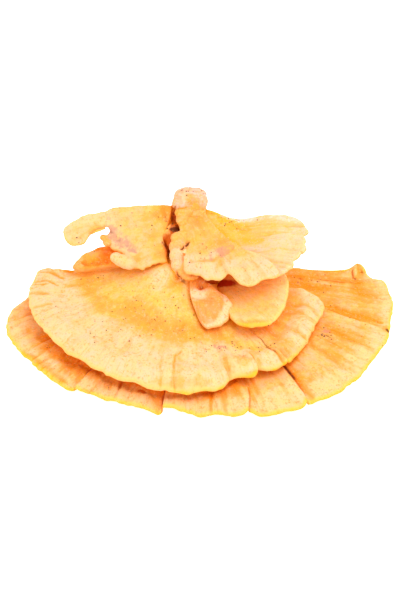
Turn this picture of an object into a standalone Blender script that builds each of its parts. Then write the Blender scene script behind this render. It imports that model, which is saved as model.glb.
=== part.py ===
"""Chicken of the woods: a cluster of overlapping shelves that fork from one neck.

The neck is cut flat where it grew, and the cut rests on the ground. X runs to the right, Y away
from the side that the shelves grow towards, and Z up. The origin lies on the cut, straight below
the knob at the top. Shapes are given in millimetres and scaled to metres.
"""

import math
from dataclasses import dataclass

import bmesh
import bpy
import numpy as np

MM = 0.001

# Driving dimensions, in millimetres
FORK_GAP = 0.3  # left between two pieces that meet at a fork
RIM_ROUNDING = 4.0  # how far in from the margin a shelf starts to thin to its edge
SIDE_ROUNDING = 6.0  # the same, at a shelf's two side edges
EDGE_LEVEL = 0.35  # height of the margin's sharp line, as a share of the thickness
SMALLEST_LIFT = 0.25  # the lowest that a shelf's underside comes to the ground
RUFFLE_LENGTHS = (47.0, 29.0)  # wavelengths of the ruffled margin
CREASE_REACH = 11.0  # how far to each side a crease lifts or lowers the shelf
CREASE_SHARPNESS = 1.3  # width over which one side of a crease passes over the other
NOTCH_WIDTH = 3.5  # half width of the nick that a crease leaves in the margin
RIM_ANGLES = (48.0, 0.0)  # stations round the margin, from the flat to the edge
SIDE_ANGLES = (0.0, 40.0, 90.0)  # stations round a side edge, from the edge to the flat
BOW_SHARE = 0.5  # share of a shelf's width that a bowed side edge draws along
SPLINE_STEPS = 24  # points computed between two given ones

NECK_VOXEL = 4.5
NECK_SHARE_OF_FACES = 0.26


@dataclass
class Crease:
    """A radial fold where one section of a shelf's margin laps over its neighbour."""

    at: tuple  # (x, y) where it meets the rim
    step: float  # how much the left side stands above the right; negative, the right is above
    length: float = 0.5  # share of the rib, measured in from the rim
    notch: float = 1.5  # depth of the nick in the rim


@dataclass
class Shelf:
    """One shelf: straight ribs from its root to its rim, arched and thickened by stations."""

    name: str
    root: list  # (x, y, z) of the upper surface inside the neck, left to right
    rim: list  # (x, y, z) of the upper surface at the growing margin, left to right
    swell: list  # (share of the rib, height above a straight rib)
    thickness: list  # (share of the rib, thickness)
    columns: int
    rows: int
    creases: tuple = ()
    ruffle: float = 0.0  # height of the waves at the margin
    ruffle_phase: float = 0.0  # turns the waves along the rim, in radians
    bow: tuple = (0.0, 0.0)  # sideways curve of the left and of the right side edge


def smoothstep(x):
    x = np.clip(x, 0.0, 1.0)
    return x * x * (3.0 - 2.0 * x)


def spline(points):
    """A dense Catmull-Rom curve through the points, with its running share of length."""
    p = np.asarray(points, float)
    p = np.vstack([2 * p[0] - p[1], p, 2 * p[-1] - p[-2]])
    t = np.linspace(0.0, 1.0, SPLINE_STEPS, endpoint=False)[:, None]
    pieces = []
    for a, b, c, d in zip(p, p[1:], p[2:], p[3:]):
        cubic = 2 * b + (c - a) * t + (2 * a - 5 * b + 4 * c - d) * t**2
        pieces.append(0.5 * (cubic + (3 * b - a - 3 * c + d) * t**3))
    curve = np.vstack(pieces + [p[-2:-1]])
    run = np.cumsum(np.linalg.norm(np.diff(curve, axis=0), axis=1))
    run = np.concatenate([[0.0], run])
    return curve, run / run[-1], run[-1]


def along(curve, share, v):
    """Points of a dense curve at the shares v of its length."""
    return np.stack([np.interp(v, share, curve[:, k]) for k in range(3)], -1)


def stations(pairs, u):
    """A smooth value at u from (share, value) pairs."""
    at = np.array([p[0] for p in pairs], float)
    value = np.array([p[1] for p in pairs], float)
    k = np.clip(np.searchsorted(at, u, side="right") - 1, 0, len(at) - 2)
    t = smoothstep((u - at[k]) / (at[k + 1] - at[k]))
    return value[k] * (1 - t) + value[k + 1] * t


class Ribs:
    """The two surfaces of a shelf as functions of v, along the rim, and u, along a rib."""

    def __init__(self, shelf):
        self.shelf = shelf
        self.root, self.root_share, self.root_length = spline(shelf.root)
        self.rim, self.rim_share, self.rim_length = spline(shelf.rim)
        self.crease_v = [self.nearest(c.at) for c in shelf.creases]

    def nearest(self, xy):
        gap = np.linalg.norm(self.rim[:, :2] - np.asarray(xy, float), axis=1)
        return self.rim_share[gap.argmin()]

    def width(self, u):
        return self.root_length + (self.rim_length - self.root_length) * u

    def surfaces(self, v, u, side, margin):
        """Upper and lower points; side and margin are 0 at an edge and 1 on the flat."""
        shelf = self.shelf
        root = along(self.root, self.root_share, v)
        rim = along(self.rim, self.rim_share, v)
        rib = rim - root
        length = np.linalg.norm(rib[..., :2], axis=-1)
        share = np.array(u)
        for crease, at in zip(shelf.creases, self.crease_v):
            apart = (v - at) * self.rim_length
            nick = crease.notch * np.exp(-((apart / NOTCH_WIDTH) ** 2))
            share = share * (1 - nick / length * u**3)
        top = root + rib * share[..., None]
        across = np.stack([rib[..., 1], -rib[..., 0]], -1) / length[..., None]
        left = shelf.bow[0] * np.clip(1 - v / BOW_SHARE, 0, 1) ** 2
        right = shelf.bow[1] * np.clip(1 - (1 - v) / BOW_SHARE, 0, 1) ** 2
        top[..., :2] += across * ((left + right) * np.sin(math.pi * u))[..., None]
        top[..., 2] += stations(shelf.swell, u) + self.ruffled(v, u)
        thick = stations(shelf.thickness, u)
        edge = top[..., 2] - thick * (1 - EDGE_LEVEL)
        full = side * margin
        bottom = top.copy()
        bottom[..., 2] = edge - thick * EDGE_LEVEL * full
        top[..., 2] = edge + thick * (1 - EDGE_LEVEL) * full
        bottom[..., 2] = np.maximum(bottom[..., 2], SMALLEST_LIFT)
        top[..., 2] = np.maximum(top[..., 2], bottom[..., 2])
        return top, bottom

    def ruffled(self, v, u):
        """Height of the waves and creases of the margin."""
        run = v * self.rim_length
        long_wave, short_wave = RUFFLE_LENGTHS
        wave = np.sin(2 * math.pi * run / long_wave + self.shelf.ruffle_phase)
        wave = wave + 0.6 * np.sin(2 * math.pi * run / short_wave)
        height = self.shelf.ruffle * wave * smoothstep((u - 0.35) / 0.65)
        for crease, at in zip(self.shelf.creases, self.crease_v):
            apart = (v - at) * self.width(u)
            lap = -crease.step * np.tanh(apart / CREASE_SHARPNESS)
            lap = lap * np.exp(-((apart / CREASE_REACH) ** 2))
            height = height + lap * smoothstep((u - 1 + crease.length) / crease.length)
        return height


def rounded(angles, rounding):
    """(distance from the edge, share of the full thickness) round an elliptical edge."""
    turns = np.radians(angles)
    return rounding * (1 - np.cos(turns)), np.sin(turns)


def rib_columns(ribs):
    """Columns v of a shelf's grid, with side values that round off both side edges."""
    inset, full = rounded(SIDE_ANGLES, SIDE_ROUNDING)
    inset = inset / ribs.rim_length
    middle = np.linspace(inset[-1], 1 - inset[-1], ribs.shelf.columns)
    beside = CREASE_SHARPNESS * 1.2 / ribs.rim_length
    for at in ribs.crease_v:
        middle = middle[abs(middle - at) > 2.2 * beside]
        middle = np.append(middle, [at - beside, at + beside])
    middle = np.sort(middle)
    ends = inset[:-1]
    v = np.concatenate([ends, middle, 1 - ends[::-1]])
    side = np.concatenate([full[:-1], np.ones(len(middle)), full[:-1][::-1]])
    return v, side


def shelf_mesh(shelf):
    """A closed grid: the upper surface, the lower one, and a cap at the root."""
    ribs = Ribs(shelf)
    v, side = rib_columns(ribs)
    root = along(ribs.root, ribs.root_share, v)
    rim = along(ribs.rim, ribs.rim_share, v)
    length = np.linalg.norm((rim - root)[:, :2], axis=1)[:, None]
    inset, full = rounded(RIM_ANGLES, RIM_ROUNDING)
    flat = np.linspace(0, 1, shelf.rows)[None, :] * (1 - RIM_ROUNDING / length)
    u = np.hstack([flat, 1 - inset[None, :] / length])
    margin = np.concatenate([np.ones(shelf.rows), full])[None, :] + 0 * u
    v_grid = v[:, None] + 0 * u
    top, bottom = ribs.surfaces(v_grid, u, side[:, None] + 0 * u, margin)

    count_v, count_u = u.shape
    mesh = bmesh.new()
    upper = [[mesh.verts.new(p * MM) for p in column] for column in top]
    lower = []
    for i, column in enumerate(bottom):
        if i in (0, count_v - 1):
            lower.append(upper[i])
        else:
            below = [mesh.verts.new(p * MM) for p in column[:-1]]
            lower.append(below + [upper[i][-1]])
    for i in range(count_v - 1):
        for j in range(count_u - 1):
            add_face(mesh, [upper[i][j], upper[i + 1][j], upper[i + 1][j + 1], upper[i][j + 1]])
            add_face(mesh, [lower[i][j], lower[i][j + 1], lower[i + 1][j + 1], lower[i + 1][j]])
        add_face(mesh, [upper[i + 1][0], upper[i][0], lower[i][0], lower[i + 1][0]])
    bmesh.ops.recalc_face_normals(mesh, faces=mesh.faces[:])
    bmesh.ops.triangulate(mesh, faces=mesh.faces[:])
    return object_from(mesh, shelf.name)


def add_face(mesh, corners):
    """A face through the corners that differ, where two surfaces share an edge."""
    distinct = list(dict.fromkeys(corners))
    if len(distinct) > 2:
        mesh.faces.new(distinct)


def object_from(mesh, name):
    data = bpy.data.meshes.new(name)
    mesh.to_mesh(data)
    mesh.free()
    obj = bpy.data.objects.new(name, data)
    bpy.context.scene.collection.objects.link(obj)
    return obj


# The neck: lumps of flesh as (centre), (radii), fused into one

NECK_LUMPS = [
    ((2, -14, 2), (40, 36, 32)),  # foot, where the cut is
    ((2, -18, 34), (34, 33, 26)),
    ((4, -24, 54), (31, 30, 21)),
    ((3, -20, 68), (22, 22, 17)),
    ((0, -4, 88), (15, 13, 14)),  # throat
    ((0.5, -3, 102), (14.5, 12.5, 11)),  # knob
    ((-6, -4, 108.5), (8, 7.5, 6)),
    ((8, -6, 107), (7, 6.5, 6)),
    ((9, -8, 99), (6.5, 7, 6)),
    ((-7.5, -27, 77), (8, 7, 7.5)),  # ridge that runs down the front
    ((-9.5, -37, 69), (8, 8, 8)),
    ((-8, -45, 63), (8, 8, 8)),
    ((-3, -52, 58), (9, 8, 8)),
]


def neck():
    mesh = bmesh.new()
    for centre, radii in NECK_LUMPS:
        made = bmesh.ops.create_icosphere(mesh, subdivisions=3, radius=1.0)["verts"]
        bmesh.ops.scale(mesh, vec=[r * MM for r in radii], verts=made)
        bmesh.ops.translate(mesh, vec=[c * MM for c in centre], verts=made)
    obj = object_from(mesh, "neck")
    fuse = obj.modifiers.new("fuse", "REMESH")
    fuse.mode = "VOXEL"
    fuse.voxel_size = NECK_VOXEL * MM
    soften = obj.modifiers.new("soften", "SMOOTH")
    soften.factor = 0.5
    soften.iterations = 2
    thin_out = obj.modifiers.new("thin_out", "DECIMATE")
    thin_out.ratio = NECK_SHARE_OF_FACES
    thin_out.use_collapse_triangulate = True
    cut_at_ground = obj.modifiers.new("cut", "BOOLEAN")
    cut_at_ground.operation = "DIFFERENCE"
    cut_at_ground.object = ground_cutter()
    return obj


def ground_cutter():
    """Everything below the ground, taken off the neck to leave the flat cut."""
    side, depth = 400 * MM, 100 * MM
    bpy.ops.mesh.primitive_cube_add(size=1, location=(0, 0, -depth / 2))
    box = bpy.context.object
    box.name = "below_ground"
    box.data.transform(((side, 0, 0, 0), (0, side, 0, 0), (0, 0, depth, 0), (0, 0, 0, 1)))
    hide(box)
    return box


def hide(obj):
    obj.hide_render = True
    obj.display_type = "WIRE"


def clearance_of(obj):
    """A hidden copy of a piece, grown by the gap that its neighbours keep to it."""
    grown = obj.copy()
    grown.name = obj.name + "_clearance"
    bpy.context.scene.collection.objects.link(grown)
    grown.modifiers.new("flat_faces", "TRIANGULATE")
    swell = grown.modifiers.new("gap", "DISPLACE")
    swell.strength = FORK_GAP * MM
    swell.mid_level = 0.0
    hide(grown)
    return grown


def carve(obj, cutters):
    for cutter in cutters:
        cut = obj.modifiers.new("clear_of_" + cutter.name, "BOOLEAN")
        cut.operation = "DIFFERENCE"
        cut.object = cutter


def keep_largest_island(obj):
    """Applies the cuts and drops the crumbs that they leave."""
    graph = bpy.context.evaluated_depsgraph_get()
    data = bpy.data.meshes.new_from_object(obj.evaluated_get(graph))
    obj.modifiers.clear()
    obj.data = data
    mesh = bmesh.new()
    mesh.from_mesh(data)
    unseen, islands = set(mesh.verts), []
    while unseen:
        island, front = set(), [unseen.pop()]
        while front:
            vertex = front.pop()
            island.add(vertex)
            linked = {edge.other_vert(vertex) for edge in vertex.link_edges} & unseen
            unseen -= linked
            front.extend(linked)
        islands.append(island)
    islands.sort(key=len)
    crumbs = [vertex for island in islands[:-1] for vertex in island]
    bmesh.ops.delete(mesh, geom=crumbs, context="VERTS")
    mesh.to_mesh(data)
    mesh.free()


# The shelves, from the highest to the lowest. Heights are of the upper surface.

CENTRE_FLAP = Shelf(
    name="centre_flap",
    root=[(-11, -14, 95), (-4, -11, 97), (4, -9, 98), (13, -11, 97)],
    rim=[
        (-1, -60, 71), (4.5, -61, 72), (8, -65.5, 70), (12, -70, 69), (19, -70, 70), (26, -70, 71),
        (32, -69, 74), (37, -75, 73), (41, -79, 72), (46, -80, 72), (53, -78, 72), (60, -75, 74),
        (68, -74, 75), (72, -71, 77), (69, -64, 79),
    ],
    swell=[(0, 0), (0.4, 1), (0.75, 2), (1, 0)],
    thickness=[(0, 14), (0.5, 9), (0.85, 6.5), (1, 4.5)],
    columns=20,
    rows=5,
    creases=(Crease((32, -69), -1.5, 0.35, 1.0),),
    ruffle=0.6,
    ruffle_phase=1.0,
)

RIGHT_FAN = Shelf(
    name="right_fan",
    root=[(12, -24, 84), (13, -12, 91), (10, -4, 97)],
    rim=[
        (78, -63, 74), (83, -59, 76), (88, -51, 79), (93, -45, 81), (96, -36, 83), (95, -30, 85),
        (98, -23, 86), (94, -14, 89), (88, -9, 91), (80, -6, 92),
    ],
    swell=[(0, 0), (0.45, -3), (0.8, 0), (1, 0)],
    thickness=[(0, 14), (0.5, 9), (0.85, 6.5), (1, 4.5)],
    columns=18,
    rows=5,
    creases=(Crease((95, -30), 1.0, 0.4, 1.5),),
    ruffle=0.6,
)

LEFT_FAN = Shelf(
    name="left_fan",
    root=[(-10, -9, 93), (-12, -25, 84), (-14, -37, 72)],
    rim=[
        (-64, -5, 94), (-71, -8, 91), (-73, -14, 84), (-71, -20, 77), (-69, -23, 74),
        (-64, -26, 72), (-61, -29, 70), (-64, -33, 68), (-60, -39, 66), (-54, -42, 64),
        (-46, -43, 63),
    ],
    swell=[(0, 0), (0.5, 2), (0.8, 1), (1, 0)],
    thickness=[(0, 14), (0.5, 9), (0.85, 6.5), (1, 4.5)],
    columns=16,
    rows=5,
    ruffle=0.5,
)

ROUND_SHELF = Shelf(
    name="round_shelf",
    root=[(22, -50, 50), (27, -40, 54), (32, -28, 57)],
    rim=[
        (31, -82, 45), (33, -88, 45), (38, -96, 45.5), (49, -100, 46), (58, -99, 46),
        (67, -93, 47), (76, -80, 49), (79, -66, 52), (81, -54, 55), (78, -42, 57),
    ],
    swell=[(0, 0), (0.5, 1), (0.85, 1.5), (1, 0)],
    thickness=[(0, 12), (0.5, 8), (0.85, 6.5), (1, 5)],
    columns=16,
    rows=5,
)

TONGUE = Shelf(
    name="tongue",
    root=[(0, -54, 63), (7, -51, 64), (14, -50, 63)],
    rim=[
        (0, -68, 56), (3, -76, 50), (6, -84, 46), (9, -90, 44), (12, -95, 42.5), (16, -96, 42),
        (24, -93, 43), (31, -88, 45), (35, -79, 49), (33, -73, 51), (30, -68, 54),
    ],
    swell=[(0, 0), (0.5, 1.5), (1, 0)],
    thickness=[(0, 10), (0.5, 6.5), (1, 4.5)],
    columns=14,
    rows=4,
)

LEFT_LOBE = Shelf(
    name="left_lobe",
    root=[(-22, -13, 63), (-22, -20, 61), (-22, -26, 60)],
    rim=[
        (-76, -15, 63), (-83, -17, 61), (-89, -20, 59), (-94, -23, 57), (-97, -26, 54),
        (-95, -28, 52), (-92, -29.5, 50), (-88, -30, 50),
    ],
    swell=[(0, 0), (0.5, 1), (1, 0)],
    thickness=[(0, 10), (0.5, 7), (1, 5)],
    columns=10,
    rows=4,
)

MIDDLE_SHELF = Shelf(
    name="middle_shelf",
    root=[(-22, -22, 61), (-20, -36, 66), (-8, -48, 63), (8, -50, 57), (20, -38, 53)],
    rim=[
        (-117, -10, 41), (-124, -10, 40), (-128, -13, 39), (-131, -22, 38), (-133, -33, 36),
        (-132, -48, 34), (-129, -61, 32), (-123, -73, 30), (-112, -90, 28), (-100, -103, 26),
        (-88, -115, 25), (-74, -125, 24), (-58, -135, 23), (-46, -141, 22), (-31, -146, 21),
        (-19, -149, 21), (-7, -151, 20), (4, -151, 20), (14, -149, 20), (22, -146, 20),
        (30, -141, 20), (34, -135, 22), (44, -134, 22), (52, -133, 22), (56, -127, 24),
        (62, -127, 24), (69, -124, 24), (76, -120, 24), (79, -114, 23), (86, -105, 22),
        (92, -95, 23), (97, -84, 24), (102, -74, 25), (107, -62, 26), (111, -47, 29),
        (108, -41, 30), (100, -36, 32),
    ],
    swell=[(0, 0), (0.25, -5), (0.5, -5), (0.72, -2.5), (0.88, 2.5), (1, 0)],
    thickness=[(0, 20), (0.5, 12), (0.85, 9), (1, 5)],
    columns=34,
    rows=7,
    creases=(
        Crease((-19, -149), 0.8, 0.3, 1.0),
        Crease((31, -140), 2.0, 0.25, 2.0),
        Crease((56, -128), -1.4, 0.25, 1.5),
        Crease((78, -116), 2.8, 0.4, 2.5),
    ),
    ruffle=0.7,
    ruffle_phase=2.0,
)

BOTTOM_SHELF = Shelf(
    name="bottom_shelf",
    root=[(-30, -8, 28), (-24, -28, 30), (-6, -40, 31), (14, -38, 31), (26, -20, 30), (22, 4, 29)],
    rim=[
        (-126, -16, 18), (-136, -21, 16), (-145, -27, 14), (-150, -34, 13), (-153, -45, 12),
        (-152, -57, 11), (-148, -68, 10), (-138, -83, 9), (-126, -101, 8), (-112, -115, 7),
        (-99, -126, 6.5), (-91, -130, 6), (-75, -136, 6), (-62, -142, 6), (-50, -147, 6),
        (-38, -151, 6), (-24, -156, 6), (-16, -153, 6.5), (-4, -156, 6.5), (8, -160, 6),
        (20, -158, 6), (33, -160, 6), (44, -160, 6), (49, -157, 6.5), (57, -159, 6),
        (71, -156, 6), (87, -152, 6), (93, -147, 7), (103, -141, 7), (119, -133, 8),
        (134, -118, 9), (146, -99, 10), (155, -83, 11), (162, -70, 12), (167, -49, 14),
        (171, -30, 16), (170, -15, 17), (166, -2, 19), (157, 0, 20), (150, 5, 21),
        (147, 12, 24), (143, 15, 25),
    ],
    swell=[(0, 0), (0.3, -2), (0.6, 0), (0.85, 1.5), (1, 0)],
    thickness=[(0, 24), (0.3, 14), (0.6, 10), (0.85, 7), (1, 5)],
    columns=40,
    rows=7,
    creases=(
        Crease((-91, -129), -1.6, 0.35, 1.5),
        Crease((-20, -154), -2.2, 0.3, 2.0),
        Crease((47, -158), 1.8, 0.3, 2.0),
        Crease((91, -148), 2.6, 0.45, 2.5),
        Crease((164, -54), 2.2, 0.5, 1.5),
    ),
    ruffle=0.7,
)

FINGER = Shelf(
    name="finger",
    root=[(-62, -7, 91.5), (-62, -13, 86), (-62, -18, 81)],
    rim=[
        (-82, -8, 90), (-90, -9, 88), (-97, -10, 85), (-103, -13, 83), (-105, -16, 81),
        (-102, -22, 78), (-97, -27, 76), (-91, -29, 76), (-86, -28.5, 76.5),
    ],
    swell=[(0, 0), (0.5, 0.5), (1, 0)],
    thickness=[(0, 6.5), (0.5, 6.5), (1, 5.5)],
    columns=10,
    rows=4,
    bow=(0.0, 3.0),
)


def left_fan():
    """The left fan, with the finger that its torn margin left standing."""
    fan, finger = shelf_mesh(LEFT_FAN), shelf_mesh(FINGER)
    hide(finger)
    join = fan.modifiers.new("finger", "BOOLEAN")
    join.operation = "UNION"
    join.object = finger
    return fan


# Flesh colours, as linear red, green and blue

FLESH = {
    "neck": (0.86, 0.50, 0.25),
    "centre_flap": (0.90, 0.60, 0.25),
    "right_fan": (0.92, 0.62, 0.24),
    "left_fan": (0.90, 0.58, 0.22),
    "round_shelf": (0.88, 0.48, 0.20),
    "tongue": (0.86, 0.48, 0.24),
    "left_lobe": (0.84, 0.32, 0.06),
    "middle_shelf": (0.92, 0.62, 0.28),
    "bottom_shelf": (0.88, 0.50, 0.22),
}


def finish(obj, colour):
    material = bpy.data.materials.new(obj.name + "_flesh")
    material.use_nodes = True
    shader = material.node_tree.nodes["Principled BSDF"]
    shader.inputs["Base Color"].default_value = (*colour, 1.0)
    shader.inputs["Roughness"].default_value = 0.6
    shader.inputs["Metallic"].default_value = 0.0
    obj.data.materials.clear()
    obj.data.materials.append(material)
    obj.data.shade_smooth()


def main():
    for old in list(bpy.data.objects):
        bpy.data.objects.remove(old)
    pieces = [
        neck(),
        shelf_mesh(CENTRE_FLAP),
        left_fan(),
        shelf_mesh(RIGHT_FAN),
        shelf_mesh(ROUND_SHELF),
        shelf_mesh(TONGUE),
        shelf_mesh(LEFT_LOBE),
        shelf_mesh(MIDDLE_SHELF),
        shelf_mesh(BOTTOM_SHELF),
    ]
    cutters = []
    for piece in pieces:
        grown = clearance_of(piece)
        carve(piece, cutters)
        cutters.append(grown)
    bpy.context.view_layer.update()
    for piece in pieces:
        keep_largest_island(piece)
        finish(piece, FLESH[piece.name])


main()
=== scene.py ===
# %% [markdown]
# # Chicken of the woods, from solids to a finished cluster
# The imported solids are plain and faceted. This lesson grows fine shelves over them, from the same
# outlines, and gives each one its folds, its wrinkles and its colours. The first cell loads the
# solids.

import itertools
import math
from dataclasses import dataclass, field

import bmesh
import bpy
import numpy as np
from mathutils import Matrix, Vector
from mathutils.bvhtree import BVHTree
from mathutils.kdtree import KDTree


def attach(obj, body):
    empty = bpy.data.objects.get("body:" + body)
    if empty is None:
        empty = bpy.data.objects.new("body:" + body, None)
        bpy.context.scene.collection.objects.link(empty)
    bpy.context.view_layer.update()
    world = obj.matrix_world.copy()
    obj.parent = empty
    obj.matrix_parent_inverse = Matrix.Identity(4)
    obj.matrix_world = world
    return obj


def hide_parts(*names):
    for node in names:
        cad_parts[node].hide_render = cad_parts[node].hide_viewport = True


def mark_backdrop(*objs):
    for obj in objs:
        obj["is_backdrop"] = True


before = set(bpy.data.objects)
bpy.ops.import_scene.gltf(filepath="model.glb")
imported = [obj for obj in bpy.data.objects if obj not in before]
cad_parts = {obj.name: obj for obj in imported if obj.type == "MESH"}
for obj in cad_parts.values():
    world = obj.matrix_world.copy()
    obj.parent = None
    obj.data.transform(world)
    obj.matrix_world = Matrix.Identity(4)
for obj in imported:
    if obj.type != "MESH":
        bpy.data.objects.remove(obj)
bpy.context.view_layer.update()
MM = 0.001
print("solids:", sorted(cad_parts))

# %% [markdown]
# Flesh is never even. A mesh or a colour can be varied with Blender's own noise textures, but a
# shape that is worked out in numpy needs noise there too. This is the simplest kind: random
# heights on a lattice with a smooth surface through them. It always gives the same hills for the
# same seed, so the cluster is the same each time it is made.

# %% Noise for shapes
LATTICE = 4096
SHIFT = 300.0  # cells by which the lattice is moved, so that every place on it is positive
SUM_OF_LAYERS = 1.6  # brings the sum of two or three layers back to about -1 to 1


def hills(points, size, seed):
    """Smooth random heights from -1 to 1, with hills about size millimetres apart."""
    rng = np.random.default_rng(seed)
    heights = rng.uniform(-1, 1, LATTICE)
    shuffle = rng.permutation(LATTICE)
    place = np.asarray(points, float) / size + SHIFT
    cell = np.floor(place).astype(int)
    part = place - cell
    part = part * part * (3 - 2 * part)
    total = np.zeros(place.shape[:-1])
    for corner in itertools.product((0, 1), repeat=place.shape[-1]):
        key = np.zeros(total.shape, int)
        share = np.ones(total.shape)
        for axis, far in enumerate(corner):
            key = shuffle[(key + cell[..., axis] + far) % LATTICE]
            share = share * (part[..., axis] if far else 1 - part[..., axis])
        total += heights[key] * share
    return total


def rough(points, size, seed, layers=3):
    """Hills with smaller hills on them."""
    total = sum(hills(points, size / 2**k, seed + k) / 2**k for k in range(layers))
    return total / SUM_OF_LAYERS


def smooth(x):
    """0 below 0, 1 above 1, and an easy S between."""
    x = np.clip(x, 0.0, 1.0)
    return x * x * (3.0 - 2.0 * x)


print("hills at a point:", hills([[10.0, 20.0]], 8, 1))

# %% [markdown]
# A shelf grows outwards from the neck, and everything on it follows that: its folds, wrinkles and
# streaks all run from the root to the margin. So a shelf is made of ribs, which are straight lines
# from a root curve to a rim curve. Every point then has two numbers: v, the share along the rim,
# and u, the share along its rib. The outlines below are the same as those of the solids, in
# millimetres, and run anticlockwise seen from above.

# %% Curves and profiles
SPLINE_STEPS = 24


class Curve:
    """A dense smooth curve through a few points, read by its share of length."""

    def __init__(self, points):
        p = np.asarray(points, float)
        p = np.vstack([2 * p[0] - p[1], p, 2 * p[-1] - p[-2]])
        t = np.linspace(0.0, 1.0, SPLINE_STEPS, endpoint=False)[:, None]
        pieces = []
        for a, b, c, d in zip(p, p[1:], p[2:], p[3:]):
            cubic = 2 * b + (c - a) * t + (2 * a - 5 * b + 4 * c - d) * t**2
            pieces.append(0.5 * (cubic + (3 * b - a - 3 * c + d) * t**3))
        self.points = np.vstack(pieces + [p[-2:-1]])
        run = np.cumsum(np.linalg.norm(np.diff(self.points, axis=0), axis=1))
        self.length = run[-1]
        self.share = np.concatenate([[0.0], run / run[-1]])

    def at(self, v):
        return np.stack([np.interp(v, self.share, self.points[:, k]) for k in range(3)], -1)

    def nearest(self, xy):
        """The share of length at the place nearest to (x, y)."""
        gap = np.linalg.norm(self.points[:, :2] - np.asarray(xy, float), axis=1)
        return self.share[gap.argmin()]


def profile(pairs, x):
    """A smooth value at x from (place, value) pairs."""
    at = np.array([p[0] for p in pairs], float)
    value = np.array([p[1] for p in pairs], float)
    k = np.clip(np.searchsorted(at, x, side="right") - 1, 0, len(at) - 2)
    t = smooth((x - at[k]) / (at[k + 1] - at[k]))
    return value[k] * (1 - t) + value[k + 1] * t


print("a curve's length:", Curve([(0, 0, 0), (10, 0, 0), (20, 5, 0)]).length)

# %% [markdown]
# Each shelf also has features of its own. A fold is where one section of the margin laps over the
# next, a groove is a narrow radial channel, and a mound is a soft lump or a hollow. A patch is
# colour alone: a stain, a warm blush or a pale place, and some patches are painted shade or painted
# light. A trail is a crest, a crease or a coloured streak along a few points, and some trails are
# painted shade or a painted highlight. Small records say what each number means. A sheet describes a
# whole shelf, and makes these records from plain rows of values.

# %% Records for a shelf and what is on it
@dataclass
class Fold:
    at: tuple  # (x, y) where it meets the rim
    step: float  # how far the left side stands above the right; negative, the right is above
    length: float = 0.5  # share of the rib, in from the rim
    nick: float = 1.5  # depth of the notch in the rim
    # shade sets how dark the painted shade inside the fold is
    shade: float = 1.0  # how dark the inside is
    skew: float = 0.0  # how far it turns from the rib, as a shift along the rim for each mm inwards


@dataclass
class Groove:
    at: tuple
    depth: float
    length: float  # share of the rib, in from the rim
    width: float = 1.2
    skew: float = 0.0


@dataclass
class Mound:
    at: tuple
    size: tuple  # radii along and across
    height: float
    turn: float = 0.0  # degrees anticlockwise from +X


@dataclass
class Patch:
    kind: str  # the mask that it changes: warm, pale, fold, stain or hole
    at: tuple
    size: tuple
    strength: float
    turn: float = 0.0
    ragged: float = 0.4  # how much its outline wanders, as a share of its size


@dataclass
class Trail:
    kind: str
    points: tuple  # a few (x, y) along it
    width: float  # distance at which it has faded to a third
    rise: float = 0.0  # height of a crest; negative, depth of a crease
    strength: float = 0.0


@dataclass
class Sheet:
    name: str
    seed: int
    root: list
    rim: list
    swell: list  # (share of the rib, height above a straight rib)
    thickness: list  # (share of the rib, thickness)
    grain: float  # distance between mesh points
    band: list  # (share of the rim, width of the pale margin)
    blush: list  # (share of the rim, how orange the flesh gets towards the root)
    wrinkle: list  # (share of the rim, depth of the radial wrinkles)
    wrinkle_gap: float = 7.0
    wrinkle_reach: float = 26.0
    waves: float = 0.6
    phase: float = 0.0
    bow: tuple = (0.0, 0.0)  # how far the two side edges bend inwards
    bow_place: float = 1.0  # more than 1, the bend is nearer the rim
    bow_share: float = 0.5  # share of the rim over which the bend fades
    folds: list = field(default_factory=list)  # rows of values
    grooves: list = field(default_factory=list)
    mounds: list = field(default_factory=list)
    patches: dict = field(default_factory=dict)  # rows of values for each kind of mask
    trails: dict = field(default_factory=dict)
    lumpy: float = 1.0  # height of the soft undulations
    # ring is painted shade: a deeper colour just inside the raised pale margin
    ring: float = 0.0  # how much deeper the colour is just inside the pale margin
    blush_reach: float = 30.0  # distance from the rim over which the blush comes in
    zone: float = 9.0  # width of the change from the pale margin to the ground colour
    lift: float = 2.7  # the outlines follow the lower lip on the side that faces the front

    def __post_init__(self):
        self.folds = [Fold(*row) for row in self.folds]
        self.grooves = [Groove(*row) for row in self.grooves]
        self.mounds = [Mound(*row) for row in self.mounds]
        self.patches = [Patch(kind, *row) for kind in self.patches for row in self.patches[kind]]
        self.trails = [Trail(kind, *row) for kind in self.trails for row in self.trails[kind]]


print("a fold, for one:", Fold(at=(46, -158), step=1.4))


# %% [markdown]
# Every mark on the flesh fades out softly, because flesh has no sharp borders. A blob is a mark
# round a place, a bell is one beside a line, and a trail is a bell along a few points with narrow
# ends. These helpers only say how strong a mark is at each point, so the same ones serve for height
# and for colour.

# %% How strong a mark is
END_BLUNTNESS = 0.4  # 0, a trail keeps its width to its ends; 1, it comes to a point
THINNEST_END = 0.02


def blob(x, y, at, size, turn):
    """1 in the middle of a place and 0 well outside it."""
    angle = math.radians(turn)
    along = (x - at[0]) * math.cos(angle) + (y - at[1]) * math.sin(angle)
    across = (y - at[1]) * math.cos(angle) - (x - at[0]) * math.sin(angle)
    return np.exp(-((along / size[0]) ** 2) - (across / size[1]) ** 2)


def bell(x, width):
    """1 at 0, and a third at one width from it."""
    return np.exp(-((x / width) ** 2))


def from_line(points, line):
    """Distance of each point from a line through a few places, and its share of length there."""
    line = np.array(line, float)
    steps = np.linalg.norm(np.diff(line, axis=0), axis=1)
    starts = np.concatenate([[0.0], np.cumsum(steps)])
    nearest = np.full(points.shape[:-1], np.inf)
    place = np.zeros(points.shape[:-1])
    for a, b, start, step in zip(line, line[1:], starts, steps):
        t = np.clip((points - a) @ (b - a) / step**2, 0, 1)
        gap = np.linalg.norm(points - a - t[..., None] * (b - a), axis=-1)
        place = np.where(gap < nearest, (start + t * step) / starts[-1], place)
        nearest = np.minimum(nearest, gap)
    return nearest, place


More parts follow.
